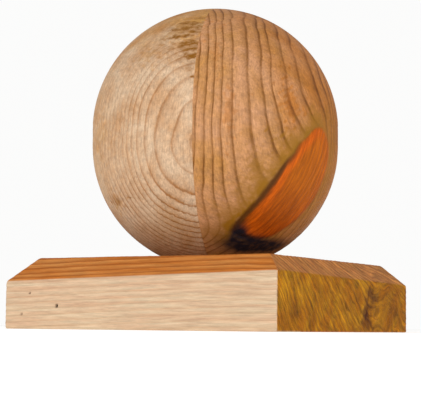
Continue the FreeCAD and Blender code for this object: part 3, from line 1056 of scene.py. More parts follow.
    splinter_stretch.inputs["Scale"].default_value = (1.0, 0.30, 1.0)
    splinter.inputs["Scale"].default_value = 1.1
    splinter.inputs["Detail"].default_value = 7
    splinter.inputs["Roughness"].default_value = 0.8
    torn_clear.inputs["From Min"].default_value = 0.34
    torn_clear.inputs["From Max"].default_value = 0.66
    torn_clear.inputs["To Min"].default_value = 1.7
    torn_clear.inputs["To Max"].default_value = 0.0
    torn_amount.operation = "MULTIPLY"
    torn_amount.use_clamp = True
    torn_mix.inputs["B"].default_value = shade(ball.torn)

    amber_mix.blend_type = "MULTIPLY"
    amber_mix.inputs["B"].default_value = AMBER_TINT
    foot_shade_noise.inputs["Scale"].default_value = 0.14
    foot_shade_noise.inputs["Detail"].default_value = 4
    foot_stain_and_shade_amount.operation = "MULTIPLY"
    foot_stain_and_shade_amount.use_clamp = True
    # the foot colour stands for weather stain and painted shade near the seat
    foot_mix.inputs["B"].default_value = shade(ball.weathered_and_shaded)

    lathe_stretch.inputs["Scale"].default_value = (0.05, 0.05, 1.0)
    lathe.inputs["Scale"].default_value = 1.3
    lathe.inputs["Detail"].default_value = 3
    relief.operation = "MULTIPLY_ADD"
    relief.inputs[1].default_value = 0.6
    bump.inputs["Strength"].default_value = 0.35
    bump.inputs["Distance"].default_value = 0.00025
    gloss.inputs["To Min"].default_value = 0.52
    gloss.inputs["To Max"].default_value = 0.72
    wood.inputs["Specular IOR Level"].default_value = 0.15

    links.new(grain_place.outputs["Vector"], ring_waver.inputs["Vector"])
    links.new(ring_waver.outputs["Fac"], ring_moved.inputs[0])
    links.new(ring_number.outputs["Fac"], ring_moved.inputs[2])
    links.new(ring_moved.outputs["Value"], ring_share.inputs[0])
    links.new(ring_share.outputs["Value"], late_line.inputs["Fac"])
    links.new(grain_place.outputs["Vector"], line_fade.inputs["Vector"])
    links.new(line_fade.outputs["Fac"], line_range.inputs["Value"])
    links.new(late_line.outputs["Color"], late_amount.inputs[0])
    links.new(line_range.outputs["Result"], late_amount.inputs[1])
    links.new(grain_place.outputs["Vector"], blotch.inputs["Vector"])
    links.new(blotch.outputs["Fac"], blotch_range.inputs["Value"])
    links.new(blotch_range.outputs["Result"], blotch_mix.inputs["Factor"])
    links.new(late_amount.outputs["Value"], reach_amount.inputs[0])
    links.new(ring_reach.outputs["Fac"], reach_amount.inputs[1])
    links.new(reach_amount.outputs["Value"], late_mix.inputs["Factor"])
    links.new(blotch_mix.outputs["Result"], late_mix.inputs["A"])
    links.new(grain_place.outputs["Vector"], fibre_stretch.inputs["Vector"])
    links.new(fibre_stretch.outputs["Vector"], fibre.inputs["Vector"])
    links.new(fibre.outputs["Fac"], fibre_range.inputs["Value"])
    links.new(late_mix.outputs["Result"], fibre_mix.inputs["A"])
    links.new(fibre_range.outputs["Result"], fibre_mix.inputs["B"])
    links.new(grain_place.outputs["Vector"], canal_stretch.inputs["Vector"])
    links.new(canal_stretch.outputs["Vector"], canal.inputs["Vector"])
    links.new(canal.outputs["Distance"], canal_range.inputs["Value"])
    links.new(canal_range.outputs["Result"], canal_mix.inputs["Factor"])
    links.new(grain_place.outputs["Vector"], mottle.inputs["Vector"])
    links.new(mottle.outputs["Fac"], mottle_range.inputs["Value"])
    links.new(fibre_mix.outputs["Result"], mottle_mix.inputs["A"])
    links.new(mottle_range.outputs["Result"], mottle_mix.inputs["B"])
    links.new(mottle_mix.outputs["Result"], canal_mix.inputs["A"])
    links.new(amber.outputs["Fac"], amber_mix.inputs["Factor"])
    links.new(canal_mix.outputs["Result"], amber_mix.inputs["A"])
    links.new(marks.outputs["Vector"], mark_parts.inputs["Vector"])
    links.new(grain_place.outputs["Vector"], splinter_stretch.inputs["Vector"])
    links.new(splinter_stretch.outputs["Vector"], splinter.inputs["Vector"])
    links.new(splinter.outputs["Fac"], torn_clear.inputs["Value"])
    links.new(mark_parts.outputs["X"], torn_amount.inputs[0])
    links.new(torn_clear.outputs["Result"], torn_amount.inputs[1])
    links.new(amber_mix.outputs["Result"], torn_mix.inputs["A"])
    links.new(torn_amount.outputs["Value"], torn_mix.inputs["Factor"])
    links.new(grain_place.outputs["Vector"], foot_shade_noise.inputs["Vector"])
    links.new(foot_shade_noise.outputs["Fac"], foot_stain_and_shade_amount.inputs[0])
    links.new(mark_parts.outputs["Z"], foot_stain_and_shade_amount.inputs[1])
    links.new(foot_stain_and_shade_amount.outputs["Value"], foot_mix.inputs["Factor"])
    links.new(torn_mix.outputs["Result"], foot_mix.inputs["A"])
    links.new(grain_place.outputs["Vector"], lathe_stretch.inputs["Vector"])
    links.new(lathe_stretch.outputs["Vector"], lathe.inputs["Vector"])
    links.new(lathe.outputs["Fac"], relief.inputs[0])
    links.new(fibre.outputs["Fac"], relief.inputs[2])
    links.new(relief.outputs["Value"], bump.inputs["Height"])
    links.new(fibre.outputs["Fac"], gloss.inputs["Value"])
    links.new(gloss.outputs["Result"], wood.inputs["Roughness"])
    links.new(bump.outputs["Normal"], wood.inputs["Normal"])
    links.new(wood.outputs["BSDF"], output.inputs["Surface"])
    colour_out = foot_mix.outputs["Result"]
    if knotty:
        colour_out = add_knot(tree, colour_out, mark_parts.outputs["Y"])
    links.new(colour_out, wood.inputs["Base Color"])
    return material


def add_knot(tree, plain_colour, stain_mark):
    """Lay the spike knot, its dark edge, its resin and the blue stain over a board's colour."""
    knot = settings("knot")
    nodes, links = tree.nodes, tree.links

    place = nodes.new("ShaderNodeAttribute")
    place.label = "Along, across and out from the knot, mm"
    parts = nodes.new("ShaderNodeSeparateXYZ")
    parts.label = "The three distances apart"
    ragged = nodes.new("ShaderNodeTexNoise")
    ragged.label = "Ragged outline"
    edge_moved = nodes.new("ShaderNodeMath")
    edge_moved.label = "Distance from the ragged edge"

    halo_range = nodes.new("ShaderNodeMapRange")
    halo_range.label = "Resin fades outward"
    halo_patches = nodes.new("ShaderNodeTexNoise")
    halo_patches.label = "Patches of resin"
    patch_range = nodes.new("ShaderNodeMapRange")
    patch_range.label = "Edges of the patches"
    halo_streaks = nodes.new("ShaderNodeMath")
    halo_streaks.label = "Resin creeps unevenly"
    halo_side = nodes.new("ShaderNodeMath")
    halo_side.label = "More resin along the upper side"
    halo_mix = nodes.new("ShaderNodeMix")
    halo_mix.label = "Khaki halo laid on"

    streak_stretch = nodes.new("ShaderNodeMapping")
    streak_stretch.label = "Streaks run along the knot"
    streak = nodes.new("ShaderNodeTexNoise")
    streak.label = "Streaks in the knot"
    streak_range = nodes.new("ShaderNodeMapRange")
    streak_range.label = "Light and dark streaks"
    foot_range = nodes.new("ShaderNodeMapRange")
    foot_range.label = "From the lower end upward"
    foot_mix = nodes.new("ShaderNodeMix")
    foot_mix.label = "Redder foot, paler head"
    bright_range = nodes.new("ShaderNodeMapRange")
    bright_range.label = "Toward the upper edge"
    bright_amount = nodes.new("ShaderNodeMath")
    bright_amount.label = "On the upper side only"
    bright_mix = nodes.new("ShaderNodeMix")
    bright_mix.label = "Bright band beside the upper edge"
    streak_mix = nodes.new("ShaderNodeMix")
    streak_mix.label = "Streaks laid on the knot"
    inside_range = nodes.new("ShaderNodeMapRange")
    inside_range.label = "Inside the knot"
    inside_mix = nodes.new("ShaderNodeMix")
    inside_mix.label = "Knot laid on the board"

    side_range = nodes.new("ShaderNodeMapRange")
    side_range.label = "Upper side of the knot"
    edge_size = nodes.new("ShaderNodeMath")
    edge_size.label = "Distance from the edge, either way"
    edge_range = nodes.new("ShaderNodeMapRange")
    edge_range.label = "Narrow dark edge"
    edge_amount = nodes.new("ShaderNodeMath")
    edge_amount.label = "Darker along the upper side"
    edge_reach = nodes.new("ShaderNodeMapRange")
    edge_reach.label = "Fades toward the upper end"
    edge_faded = nodes.new("ShaderNodeMath")
    edge_faded.label = "Dark edge with its fade"
    edge_mix = nodes.new("ShaderNodeMix")
    edge_mix.label = "Dark edge laid on"

    stain_noise = nodes.new("ShaderNodeTexNoise")
    stain_noise.label = "Patchy stain"
    stain_range = nodes.new("ShaderNodeMapRange")
    stain_range.label = "Edges of the stain"
    stain_amount = nodes.new("ShaderNodeMath")
    stain_amount.label = "How blue-black it is"
    stain_mix = nodes.new("ShaderNodeMix")
    stain_mix.label = "Blue stain laid on"

    groups = {
        "Where the knot is": [place, parts, ragged, edge_moved],
        "Resin halo": [halo_range, halo_patches, patch_range, halo_streaks, halo_side, halo_mix],
        "Streaks": [streak_stretch, streak, streak_range, streak_mix],
        "Colour of the knot": [foot_range, foot_mix, bright_range, bright_amount, bright_mix],
        "Inside the knot": [inside_range, inside_mix],
        "Upper side": [side_range],
        "Dark edge": [edge_size, edge_range, edge_amount, edge_reach, edge_faded, edge_mix],
        "Blue stain": [stain_noise, stain_range, stain_amount, stain_mix],
    }
    lay_out(tree, {"Knot: " + label: members for label, members in groups.items()})

    place.attribute_name = "knot"
    ragged.inputs["Scale"].default_value = 0.5
    ragged.inputs["Detail"].default_value = 4
    edge_moved.operation = "MULTIPLY_ADD"
    edge_moved.inputs[1].default_value = 0.9

    halo_range.interpolation_type = "SMOOTHSTEP"
    halo_range.inputs["From Min"].default_value = 0.5
    halo_range.inputs["From Max"].default_value = 8.5
    halo_range.inputs["To Min"].default_value = 1.35
    halo_range.inputs["To Max"].default_value = 0.0
    halo_patches.inputs["Scale"].default_value = 0.16
    halo_patches.inputs["Detail"].default_value = 5
    halo_patches.inputs["Roughness"].default_value = 0.65
    patch_range.inputs["From Min"].default_value = 0.40
    patch_range.inputs["From Max"].default_value = 0.62
    patch_range.inputs["To Min"].default_value = 0.5
    halo_streaks.operation = "MULTIPLY"
    halo_side.operation = "MULTIPLY"
    halo_side.use_clamp = True
    for mix in (halo_mix, foot_mix, bright_mix, streak_mix, inside_mix, edge_mix, stain_mix):
        mix.data_type = "RGBA"
    halo_mix.inputs["B"].default_value = shade(knot.halo)

    streak_stretch.inputs["Scale"].default_value = (0.10, 1.0, 0.0)
    streak.inputs["Scale"].default_value = 0.7
    streak.inputs["Detail"].default_value = 5
    streak.inputs["Roughness"].default_value = 0.7
    streak_range.inputs["From Min"].default_value = 0.34
    streak_range.inputs["From Max"].default_value = 0.66
    streak_range.inputs["To Min"].default_value = 0.58
    streak_range.inputs["To Max"].default_value = 1.25
    streak_mix.blend_type = "MULTIPLY"
    streak_mix.inputs["Factor"].default_value = 1.0
    foot_range.inputs["From Min"].default_value = -26.0
    foot_range.inputs["From Max"].default_value = 4.0
    foot_mix.inputs["A"].default_value = shade(knot.foot)
    foot_mix.inputs["B"].default_value = shade(knot.heart)
    bright_range.interpolation_type = "SMOOTHSTEP"
    bright_range.inputs["From Min"].default_value = -6.5
    bright_range.inputs["From Max"].default_value = -2.0
    bright_amount.operation = "MULTIPLY"
    bright_mix.inputs["B"].default_value = shade(knot.bright)
    inside_range.interpolation_type = "SMOOTHSTEP"
    inside_range.inputs["From Min"].default_value = 1.3
    inside_range.inputs["From Max"].default_value = -0.7

    side_range.interpolation_type = "SMOOTHSTEP"
    side_range.inputs["From Min"].default_value = -7.0
    side_range.inputs["From Max"].default_value = 3.0
    side_range.inputs["To Min"].default_value = 0.2
    side_range.inputs["To Max"].default_value = 1.0
    edge_size.operation = "ABSOLUTE"
    edge_range.interpolation_type = "SMOOTHSTEP"
    edge_range.inputs["From Min"].default_value = 0.15
    edge_range.inputs["From Max"].default_value = 2.1
    edge_range.inputs["To Min"].default_value = 0.95
    edge_range.inputs["To Max"].default_value = 0.0
    edge_amount.operation = "MULTIPLY"
    edge_reach.interpolation_type = "SMOOTHSTEP"
    edge_reach.inputs["From Min"].default_value = 2.0
    edge_reach.inputs["From Max"].default_value = 22.0
    edge_reach.inputs["To Min"].default_value = 1.0
    edge_reach.inputs["To Max"].default_value = 0.15
    edge_faded.operation = "MULTIPLY"
    edge_mix.inputs["B"].default_value = shade(knot.edge)

    stain_noise.inputs["Scale"].default_value = 0.35
    stain_noise.inputs["Detail"].default_value = 4
    stain_range.inputs["From Min"].default_value = 0.30
    stain_range.inputs["From Max"].default_value = 0.55
    stain_range.inputs["To Min"].default_value = 0.8
    stain_range.inputs["To Max"].default_value = 1.0
    stain_amount.operation = "MULTIPLY"
    stain_amount.use_clamp = True
    stain_mix.inputs["B"].default_value = shade(knot.blue)

    links.new(place.outputs["Vector"], parts.inputs["Vector"])
    links.new(place.outputs["Vector"], ragged.inputs["Vector"])
    links.new(ragged.outputs["Fac"], edge_moved.inputs[0])
    links.new(parts.outputs["Z"], edge_moved.inputs[2])
    links.new(edge_moved.outputs["Value"], halo_range.inputs["Value"])
    links.new(halo_range.outputs["Result"], halo_streaks.inputs[0])
    links.new(place.outputs["Vector"], halo_patches.inputs["Vector"])
    links.new(halo_patches.outputs["Fac"], patch_range.inputs["Value"])
    links.new(patch_range.outputs["Result"], halo_streaks.inputs[1])
    links.new(plain_colour, halo_mix.inputs["A"])
    links.new(halo_streaks.outputs["Value"], halo_side.inputs[0])
    links.new(side_range.outputs["Result"], halo_side.inputs[1])
    links.new(halo_side.outputs["Value"], halo_mix.inputs["Factor"])
    links.new(place.outputs["Vector"], streak_stretch.inputs["Vector"])
    links.new(streak_stretch.outputs["Vector"], streak.inputs["Vector"])
    links.new(streak.outputs["Fac"], streak_range.inputs["Value"])
    links.new(parts.outputs["X"], foot_range.inputs["Value"])
    links.new(foot_range.outputs["Result"], foot_mix.inputs["Factor"])
    links.new(edge_moved.outputs["Value"], bright_range.inputs["Value"])
    links.new(bright_range.outputs["Result"], bright_amount.inputs[0])
    links.new(side_range.outputs["Result"], bright_amount.inputs[1])
    links.new(bright_amount.outputs["Value"], bright_mix.inputs["Factor"])
    links.new(foot_mix.outputs["Result"], bright_mix.inputs["A"])
    links.new(bright_mix.outputs["Result"], streak_mix.inputs["A"])
    links.new(streak_range.outputs["Result"], streak_mix.inputs["B"])
    links.new(edge_moved.outputs["Value"], inside_range.inputs["Value"])
    links.new(inside_range.outputs["Result"], inside_mix.inputs["Factor"])
    links.new(halo_mix.outputs["Result"], inside_mix.inputs["A"])
    links.new(streak_mix.outputs["Result"], inside_mix.inputs["B"])
    links.new(parts.outputs["Y"], side_range.inputs["Value"])
    links.new(edge_moved.outputs["Value"], edge_size.inputs[0])
    links.new(edge_size.outputs["Value"], edge_range.inputs["Value"])
    links.new(edge_range.outputs["Result"], edge_amount.inputs[0])
    links.new(side_range.outputs["Result"], edge_amount.inputs[1])
    links.new(parts.outputs["X"], edge_reach.inputs["Value"])
    links.new(edge_amount.outputs["Value"], edge_faded.inputs[0])
    links.new(edge_reach.outputs["Result"], edge_faded.inputs[1])
    links.new(edge_faded.outputs["Value"], edge_mix.inputs["Factor"])
    links.new(inside_mix.outputs["Result"], edge_mix.inputs["A"])
    links.new(place.outputs["Vector"], stain_noise.inputs["Vector"])
    links.new(stain_noise.outputs["Fac"], stain_range.inputs["Value"])
    links.new(stain_range.outputs["Result"], stain_amount.inputs[0])
    links.new(stain_mark, stain_amount.inputs[1])
    links.new(stain_amount.outputs["Value"], stain_mix.inputs["Factor"])
    links.new(edge_mix.outputs["Result"], stain_mix.inputs["A"])
    return stain_mix.outputs["Result"]


def plate_material(name):
    """Sawn softwood: pale sapwood in front, reddish heartwood, and two ends of golden end grain."""
    plate = settings("plate")
    material = new_material(name)
    tree = material.node_tree
    nodes, links = tree.nodes, tree.links

    ring_number = nodes.new("ShaderNodeAttribute")
    ring_number.label = "Growth ring number"
    grain_place = nodes.new("ShaderNodeAttribute")
    grain_place.label = "Place in the plate's grain, mm"
    ring_waver = nodes.new("ShaderNodeTexNoise")
    ring_waver.label = "Small wavers of the rings"
    ring_moved = nodes.new("ShaderNodeMath")
    ring_moved.label = "Rings with their wavers"
    ring_share = nodes.new("ShaderNodeMath")
    ring_share.label = "Share across one ring"
    late_line = nodes.new("ShaderNodeValToRGB")
    late_line.label = "Late wood darkens to a sharp edge"

    marks = nodes.new("ShaderNodeAttribute")
    marks.label = "Heartwood, end grain, pin holes"
    mark_parts = nodes.new("ShaderNodeSeparateXYZ")
    mark_parts.label = "The three marks apart"
    streak_stretch = nodes.new("ShaderNodeMapping")
    streak_stretch.label = "Streaks run along the plate"
    streak = nodes.new("ShaderNodeTexNoise")
    streak.label = "Long streaks"
    streak_range = nodes.new("ShaderNodeMapRange")
    streak_range.label = "Edges of the streaks"

    sap_mix = nodes.new("ShaderNodeMix")
    sap_mix.label = "Sapwood and its blush"
    sap_strength = nodes.new("ShaderNodeMath")
    sap_strength.label = "Faint lines in the sapwood"
    sap_lines = nodes.new("ShaderNodeMix")
    sap_lines.label = "Sapwood lines laid on"
    heart_mix = nodes.new("ShaderNodeMix")
    heart_mix.label = "Heartwood and its pale streaks"
    heart_strength = nodes.new("ShaderNodeMath")
    heart_strength.label = "Stronger lines in the heartwood"
    heart_lines = nodes.new("ShaderNodeMix")
    heart_lines.label = "Heartwood lines laid on"
    side_mix = nodes.new("ShaderNodeMix")
    side_mix.label = "Sapwood gives way to heartwood"

    end_drift = nodes.new("ShaderNodeTexNoise")
    end_drift.label = "Drifting colour of the ends"
    end_range = nodes.new("ShaderNodeMapRange")
    end_range.label = "Edges of the colour drift"
    end_mix = nodes.new("ShaderNodeMix")
    end_mix.label = "End grain and its pale early wood"
    band_stretch = nodes.new("ShaderNodeMapping")
    band_stretch.label = "Bands follow the rings"
    band = nodes.new("ShaderNodeTexNoise")
    band.label = "Light and dark bands"
    band_range = nodes.new("ShaderNodeMapRange")
    band_range.label = "How light and dark they are"
    band_mix = nodes.new("ShaderNodeMix")
    band_mix.label = "Bands tint the ends"
    end_strength = nodes.new("ShaderNodeMath")
    end_strength.label = "Strong lines on the ends"
    end_lines = nodes.new("ShaderNodeMix")
    end_lines.label = "End lines laid on"
    face_mix = nodes.new("ShaderNodeMix")
    face_mix.label = "Sides or ends"

    fibre_stretch = nodes.new("ShaderNodeMapping")
    fibre_stretch.label = "Fibres run along the plate"
    fibre = nodes.new("ShaderNodeTexNoise")
    fibre.label = "Fine fibres"
    pore = nodes.new("ShaderNodeTexNoise")
    pore.label = "Fine pores and saw fuzz"
    texture_pick = nodes.new("ShaderNodeMix")
    texture_pick.label = "Fibres on the sides, pores on the ends"
    fibre_range = nodes.new("ShaderNodeMapRange")
    fibre_range.label = "Light and dark fibres"
    fibre_mix = nodes.new("ShaderNodeMix")
    fibre_mix.label = "Fibres tint the wood"

    knot_marks = nodes.new("ShaderNodeAttribute")
    knot_marks.label = "End knot, bark, banded wood"
    knot_parts = nodes.new("ShaderNodeSeparateXYZ")
    knot_parts.label = "The three apart"
    bark_noise = nodes.new("ShaderNodeTexNoise")
    bark_noise.label = "Crumbling bark"
    bark_amount = nodes.new("ShaderNodeMath")
    bark_amount.label = "Where bark shows"
    bark_mix = nodes.new("ShaderNodeMix")
    bark_mix.label = "Bark laid on"
    knot_tint = nodes.new("ShaderNodeMix")
    knot_tint.label = "Darker end knot"
    hole_shade_mix = nodes.new("ShaderNodeMix")
    hole_shade_mix.label = "Painted shade in the pin holes"

    bump = nodes.new("ShaderNodeBump")
    bump.label = "Fine surface of the wood"
    gloss = nodes.new("ShaderNodeMapRange")
    gloss.label = "Fibres are rough or smooth"
    wood = nodes.new("ShaderNodeBsdfPrincipled")
    wood.label = name
    output = nodes.new("ShaderNodeOutputMaterial")
    output.label = "Surface"

    groups = {
        "Growth rings": [ring_number, grain_place, ring_waver, ring_moved, ring_share, late_line],
        "Where things are": [marks, mark_parts, streak_stretch, streak, streak_range],
        "Sapwood": [sap_mix, sap_strength, sap_lines],
        "Heartwood": [heart_mix, heart_strength, heart_lines, side_mix],
        "Ends": [end_drift, end_range, end_mix, end_strength, end_lines, face_mix],
        "Bands on the ends": [band_stretch, band, band_range, band_mix],
        "Fibres and pores": [fibre_stretch, fibre, pore, texture_pick, fibre_range, fibre_mix],
        "Marks": [knot_marks, knot_parts, bark_noise, bark_amount, bark_mix, knot_tint, hole_shade_mix],
        "Surface": [bump, gloss, wood, output],
    }
    lay_out(tree, groups)

    ring_number.attribute_name = "rings"
    grain_place.attribute_name = "grain"
    marks.attribute_name = "marks"
    knot_marks.attribute_name = "knot"
    ring_waver.inputs["Scale"].default_value = 0.25
    ring_waver.inputs["Detail"].default_value = 4
    ring_moved.operation = "MULTIPLY_ADD"
    ring_moved.inputs[1].default_value = 0.15
    ring_share.operation = "FRACT"
    early_part = [(0.0, 0.4), (0.12, 0.0), (0.45, 0.1)]
    late_part = [(0.75, 0.6), (0.90, 1.0), (1.0, 0.85)]
    set_ring_profile(late_line.color_ramp, *early_part, *late_part)

    streak_stretch.inputs["Scale"].default_value = (1.0, 1.0, 0.05)
    streak.inputs["Scale"].default_value = 0.6
    streak.inputs["Detail"].default_value = 5
    streak.inputs["Roughness"].default_value = 0.6
    streak_range.inputs["From Min"].default_value = 0.38
    streak_range.inputs["From Max"].default_value = 0.64

    mixes = (sap_mix, sap_lines, heart_mix, heart_lines, side_mix, end_mix, end_lines, face_mix)
    mixes += (band_mix, fibre_mix, bark_mix, knot_tint, hole_shade_mix)
    for mix in mixes:
        mix.data_type = "RGBA"
    sap_mix.inputs["A"].default_value = shade(plate.sapwood)
    sap_mix.inputs["B"].default_value = shade(plate.sapwood_pink)
    sap_strength.operation = "MULTIPLY"
    sap_strength.inputs[1].default_value = 0.36
    sap_lines.inputs["B"].default_value = shade(plate.sapwood_line)
    heart_mix.inputs["A"].default_value = shade(plate.heartwood)
    heart_mix.inputs["B"].default_value = shade(plate.heartwood_pale)
    heart_strength.operation = "MULTIPLY"
    heart_strength.inputs[1].default_value = 0.75
    heart_lines.inputs["B"].default_value = shade(plate.heartwood_line)
    end_drift.inputs["Scale"].default_value = 0.12
    end_drift.inputs["Detail"].default_value = 4
    end_range.inputs["From Min"].default_value = 0.38
    end_range.inputs["From Max"].default_value = 0.64
    end_mix.inputs["A"].default_value = shade(plate.end_grain)
    end_mix.inputs["B"].default_value = shade(plate.end_grain_pale)
    band_stretch.inputs["Scale"].default_value = (1.0, 0.14, 0.0)
    band.inputs["Scale"].default_value = 0.45
    band.inputs["Detail"].default_value = 5
    band.inputs["Roughness"].default_value = 0.75
    band_range.clamp = False
    band_range.inputs["From Min"].default_value = 0.36
    band_range.inputs["From Max"].default_value = 0.64
    band_range.inputs["To Min"].default_value = 0.50
    band_range.inputs["To Max"].default_value = 1.38
    band_mix.blend_type = "MULTIPLY"
    end_strength.operation = "MULTIPLY"
    end_strength.inputs[1].default_value = 0.5
    end_lines.inputs["B"].default_value = shade(plate.end_grain_line)

    fibre_stretch.inputs["Scale"].default_value = (1.0, 1.0, 0.08)
    fibre.inputs["Scale"].default_value = 1.2
    fibre.inputs["Detail"].default_value = 6
    fibre.inputs["Roughness"].default_value = 0.75
    pore.inputs["Scale"].default_value = 1.7
    pore.inputs["Detail"].default_value = 5
    pore.inputs["Roughness"].default_value = 0.8
    fibre_range.clamp = False
    fibre_range.inputs["From Min"].default_value = 0.36
    fibre_range.inputs["From Max"].default_value = 0.64
    fibre_range.inputs["To Min"].default_value = 0.76
    fibre_range.inputs["To Max"].default_value = 1.10
    fibre_mix.blend_type = "MULTIPLY"
    fibre_mix.inputs["Factor"].default_value = 0.9

    bark_noise.inputs["Scale"].default_value = 0.5
    bark_noise.inputs["Detail"].default_value = 5
    bark_amount.operation = "MULTIPLY_ADD"
    bark_amount.use_clamp = True
    bark_mix.inputs["B"].default_value = shade(plate.bark)
    knot_tint.inputs["B"].default_value = shade(plate.end_grain_line)
    # painted shade: the pin holes are filled near black
    hole_shade_mix.inputs["B"].default_value = PIN_HOLE_SHADE

    bump.inputs["Strength"].default_value = 0.4
    bump.inputs["Distance"].default_value = 0.0003
    gloss.inputs["To Min"].default_value = 0.58
    gloss.inputs["To Max"].default_value = 0.78
    wood.inputs["Specular IOR Level"].default_value = 0.12

    links.new(grain_place.outputs["Vector"], ring_waver.inputs["Vector"])
    links.new(ring_waver.outputs["Fac"], ring_moved.inputs[0])
    links.new(ring_number.outputs["Fac"], ring_moved.inputs[2])
    links.new(ring_moved.outputs["Value"], ring_share.inputs[0])
    links.new(ring_share.outputs["Value"], late_line.inputs["Fac"])
    links.new(marks.outputs["Vector"], mark_parts.inputs["Vector"])
    links.new(grain_place.outputs["Vector"], streak_stretch.inputs["Vector"])
    links.new(streak_stretch.outputs["Vector"], streak.inputs["Vector"])
    links.new(streak.outputs["Fac"], streak_range.inputs["Value"])
    links.new(streak_range.outputs["Result"], sap_mix.inputs["Factor"])
    links.new(late_line.outputs["Color"], sap_strength.inputs[0])
    links.new(sap_strength.outputs["Value"], sap_lines.inputs["Factor"])
    links.new(sap_mix.outputs["Result"], sap_lines.inputs["A"])
    links.new(streak_range.outputs["Result"], heart_mix.inputs["Factor"])
    links.new(late_line.outputs["Color"], heart_strength.inputs[0])
    links.new(heart_strength.outputs["Value"], heart_lines.inputs["Factor"])
    links.new(heart_mix.outputs["Result"], heart_lines.inputs["A"])
    links.new(mark_parts.outputs["X"], side_mix.inputs["Factor"])
    links.new(sap_lines.outputs["Result"], side_mix.inputs["A"])
    links.new(heart_lines.outputs["Result"], side_mix.inputs["B"])
    links.new(grain_place.outputs["Vector"], end_drift.inputs["Vector"])
    links.new(end_drift.outputs["Fac"], end_range.inputs["Value"])
    links.new(end_range.outputs["Result"], end_mix.inputs["Factor"])
    links.new(late_line.outputs["Color"], end_strength.inputs[0])
    links.new(end_strength.outputs["Value"], end_lines.inputs["Factor"])
    links.new(end_mix.outputs["Result"], end_lines.inputs["A"])
    links.new(mark_parts.outputs["Y"], face_mix.inputs["Factor"])
    links.new(side_mix.outputs["Result"], face_mix.inputs["A"])
    links.new(grain_place.outputs["Vector"], band_stretch.inputs["Vector"])
    links.new(band_stretch.outputs["Vector"], band.inputs["Vector"])
    links.new(band.outputs["Fac"], band_range.inputs["Value"])
    links.new(knot_parts.outputs["Z"], band_mix.inputs["Factor"])
    links.new(face_mix.outputs["Result"], band_mix.inputs["A"])
    links.new(band_range.outputs["Result"], band_mix.inputs["B"])
    links.new(end_lines.outputs["Result"], face_mix.inputs["B"])
    links.new(grain_place.outputs["Vector"], fibre_stretch.inputs["Vector"])
    links.new(fibre_stretch.outputs["Vector"], fibre.inputs["Vector"])
    links.new(grain_place.outputs["Vector"], pore.inputs["Vector"])
    links.new(mark_parts.outputs["Y"], texture_pick.inputs["Factor"])
    links.new(fibre.outputs["Fac"], texture_pick.inputs["A"])
    links.new(pore.outputs["Fac"], texture_pick.inputs["B"])
    links.new(texture_pick.outputs["Result"], fibre_range.inputs["Value"])
    links.new(band_mix.outputs["Result"], fibre_mix.inputs["A"])
    links.new(fibre_range.outputs["Result"], fibre_mix.inputs["B"])
    links.new(knot_marks.outputs["Vector"], knot_parts.inputs["Vector"])
    links.new(grain_place.outputs["Vector"], bark_noise.inputs["Vector"])
    links.new(bark_noise.outputs["Fac"], bark_amount.inputs[0])
    links.new(knot_parts.outputs["Y"], bark_amount.inputs[1])
    links.new(knot_parts.outputs["Y"], bark_amount.inputs[2])
    links.new(fibre_mix.outputs["Result"], knot_tint.inputs["A"])
    links.new(knot_parts.outputs["X"], knot_tint.inputs["Factor"])
    links.new(knot_tint.outputs["Result"], bark_mix.inputs["A"])
    links.new(bark_amount.outputs["Value"], bark_mix.inputs["Factor"])
    links.new(bark_mix.outputs["Result"], hole_shade_mix.inputs["A"])
    links.new(mark_parts.outputs["Z"], hole_shade_mix.inputs["Factor"])
    links.new(texture_pick.outputs["Result"], bump.inputs["Height"])
    links.new(texture_pick.outputs["Result"], gloss.inputs["Value"])
    links.new(gloss.outputs["Result"], wood.inputs["Roughness"])
    links.new(bump.outputs["Normal"], wood.inputs["Normal"])
    links.new(hole_shade_mix.outputs["Result"], wood.inputs["Base Color"])
    links.new(wood.outputs["BSDF"], output.inputs["Surface"])
    return material


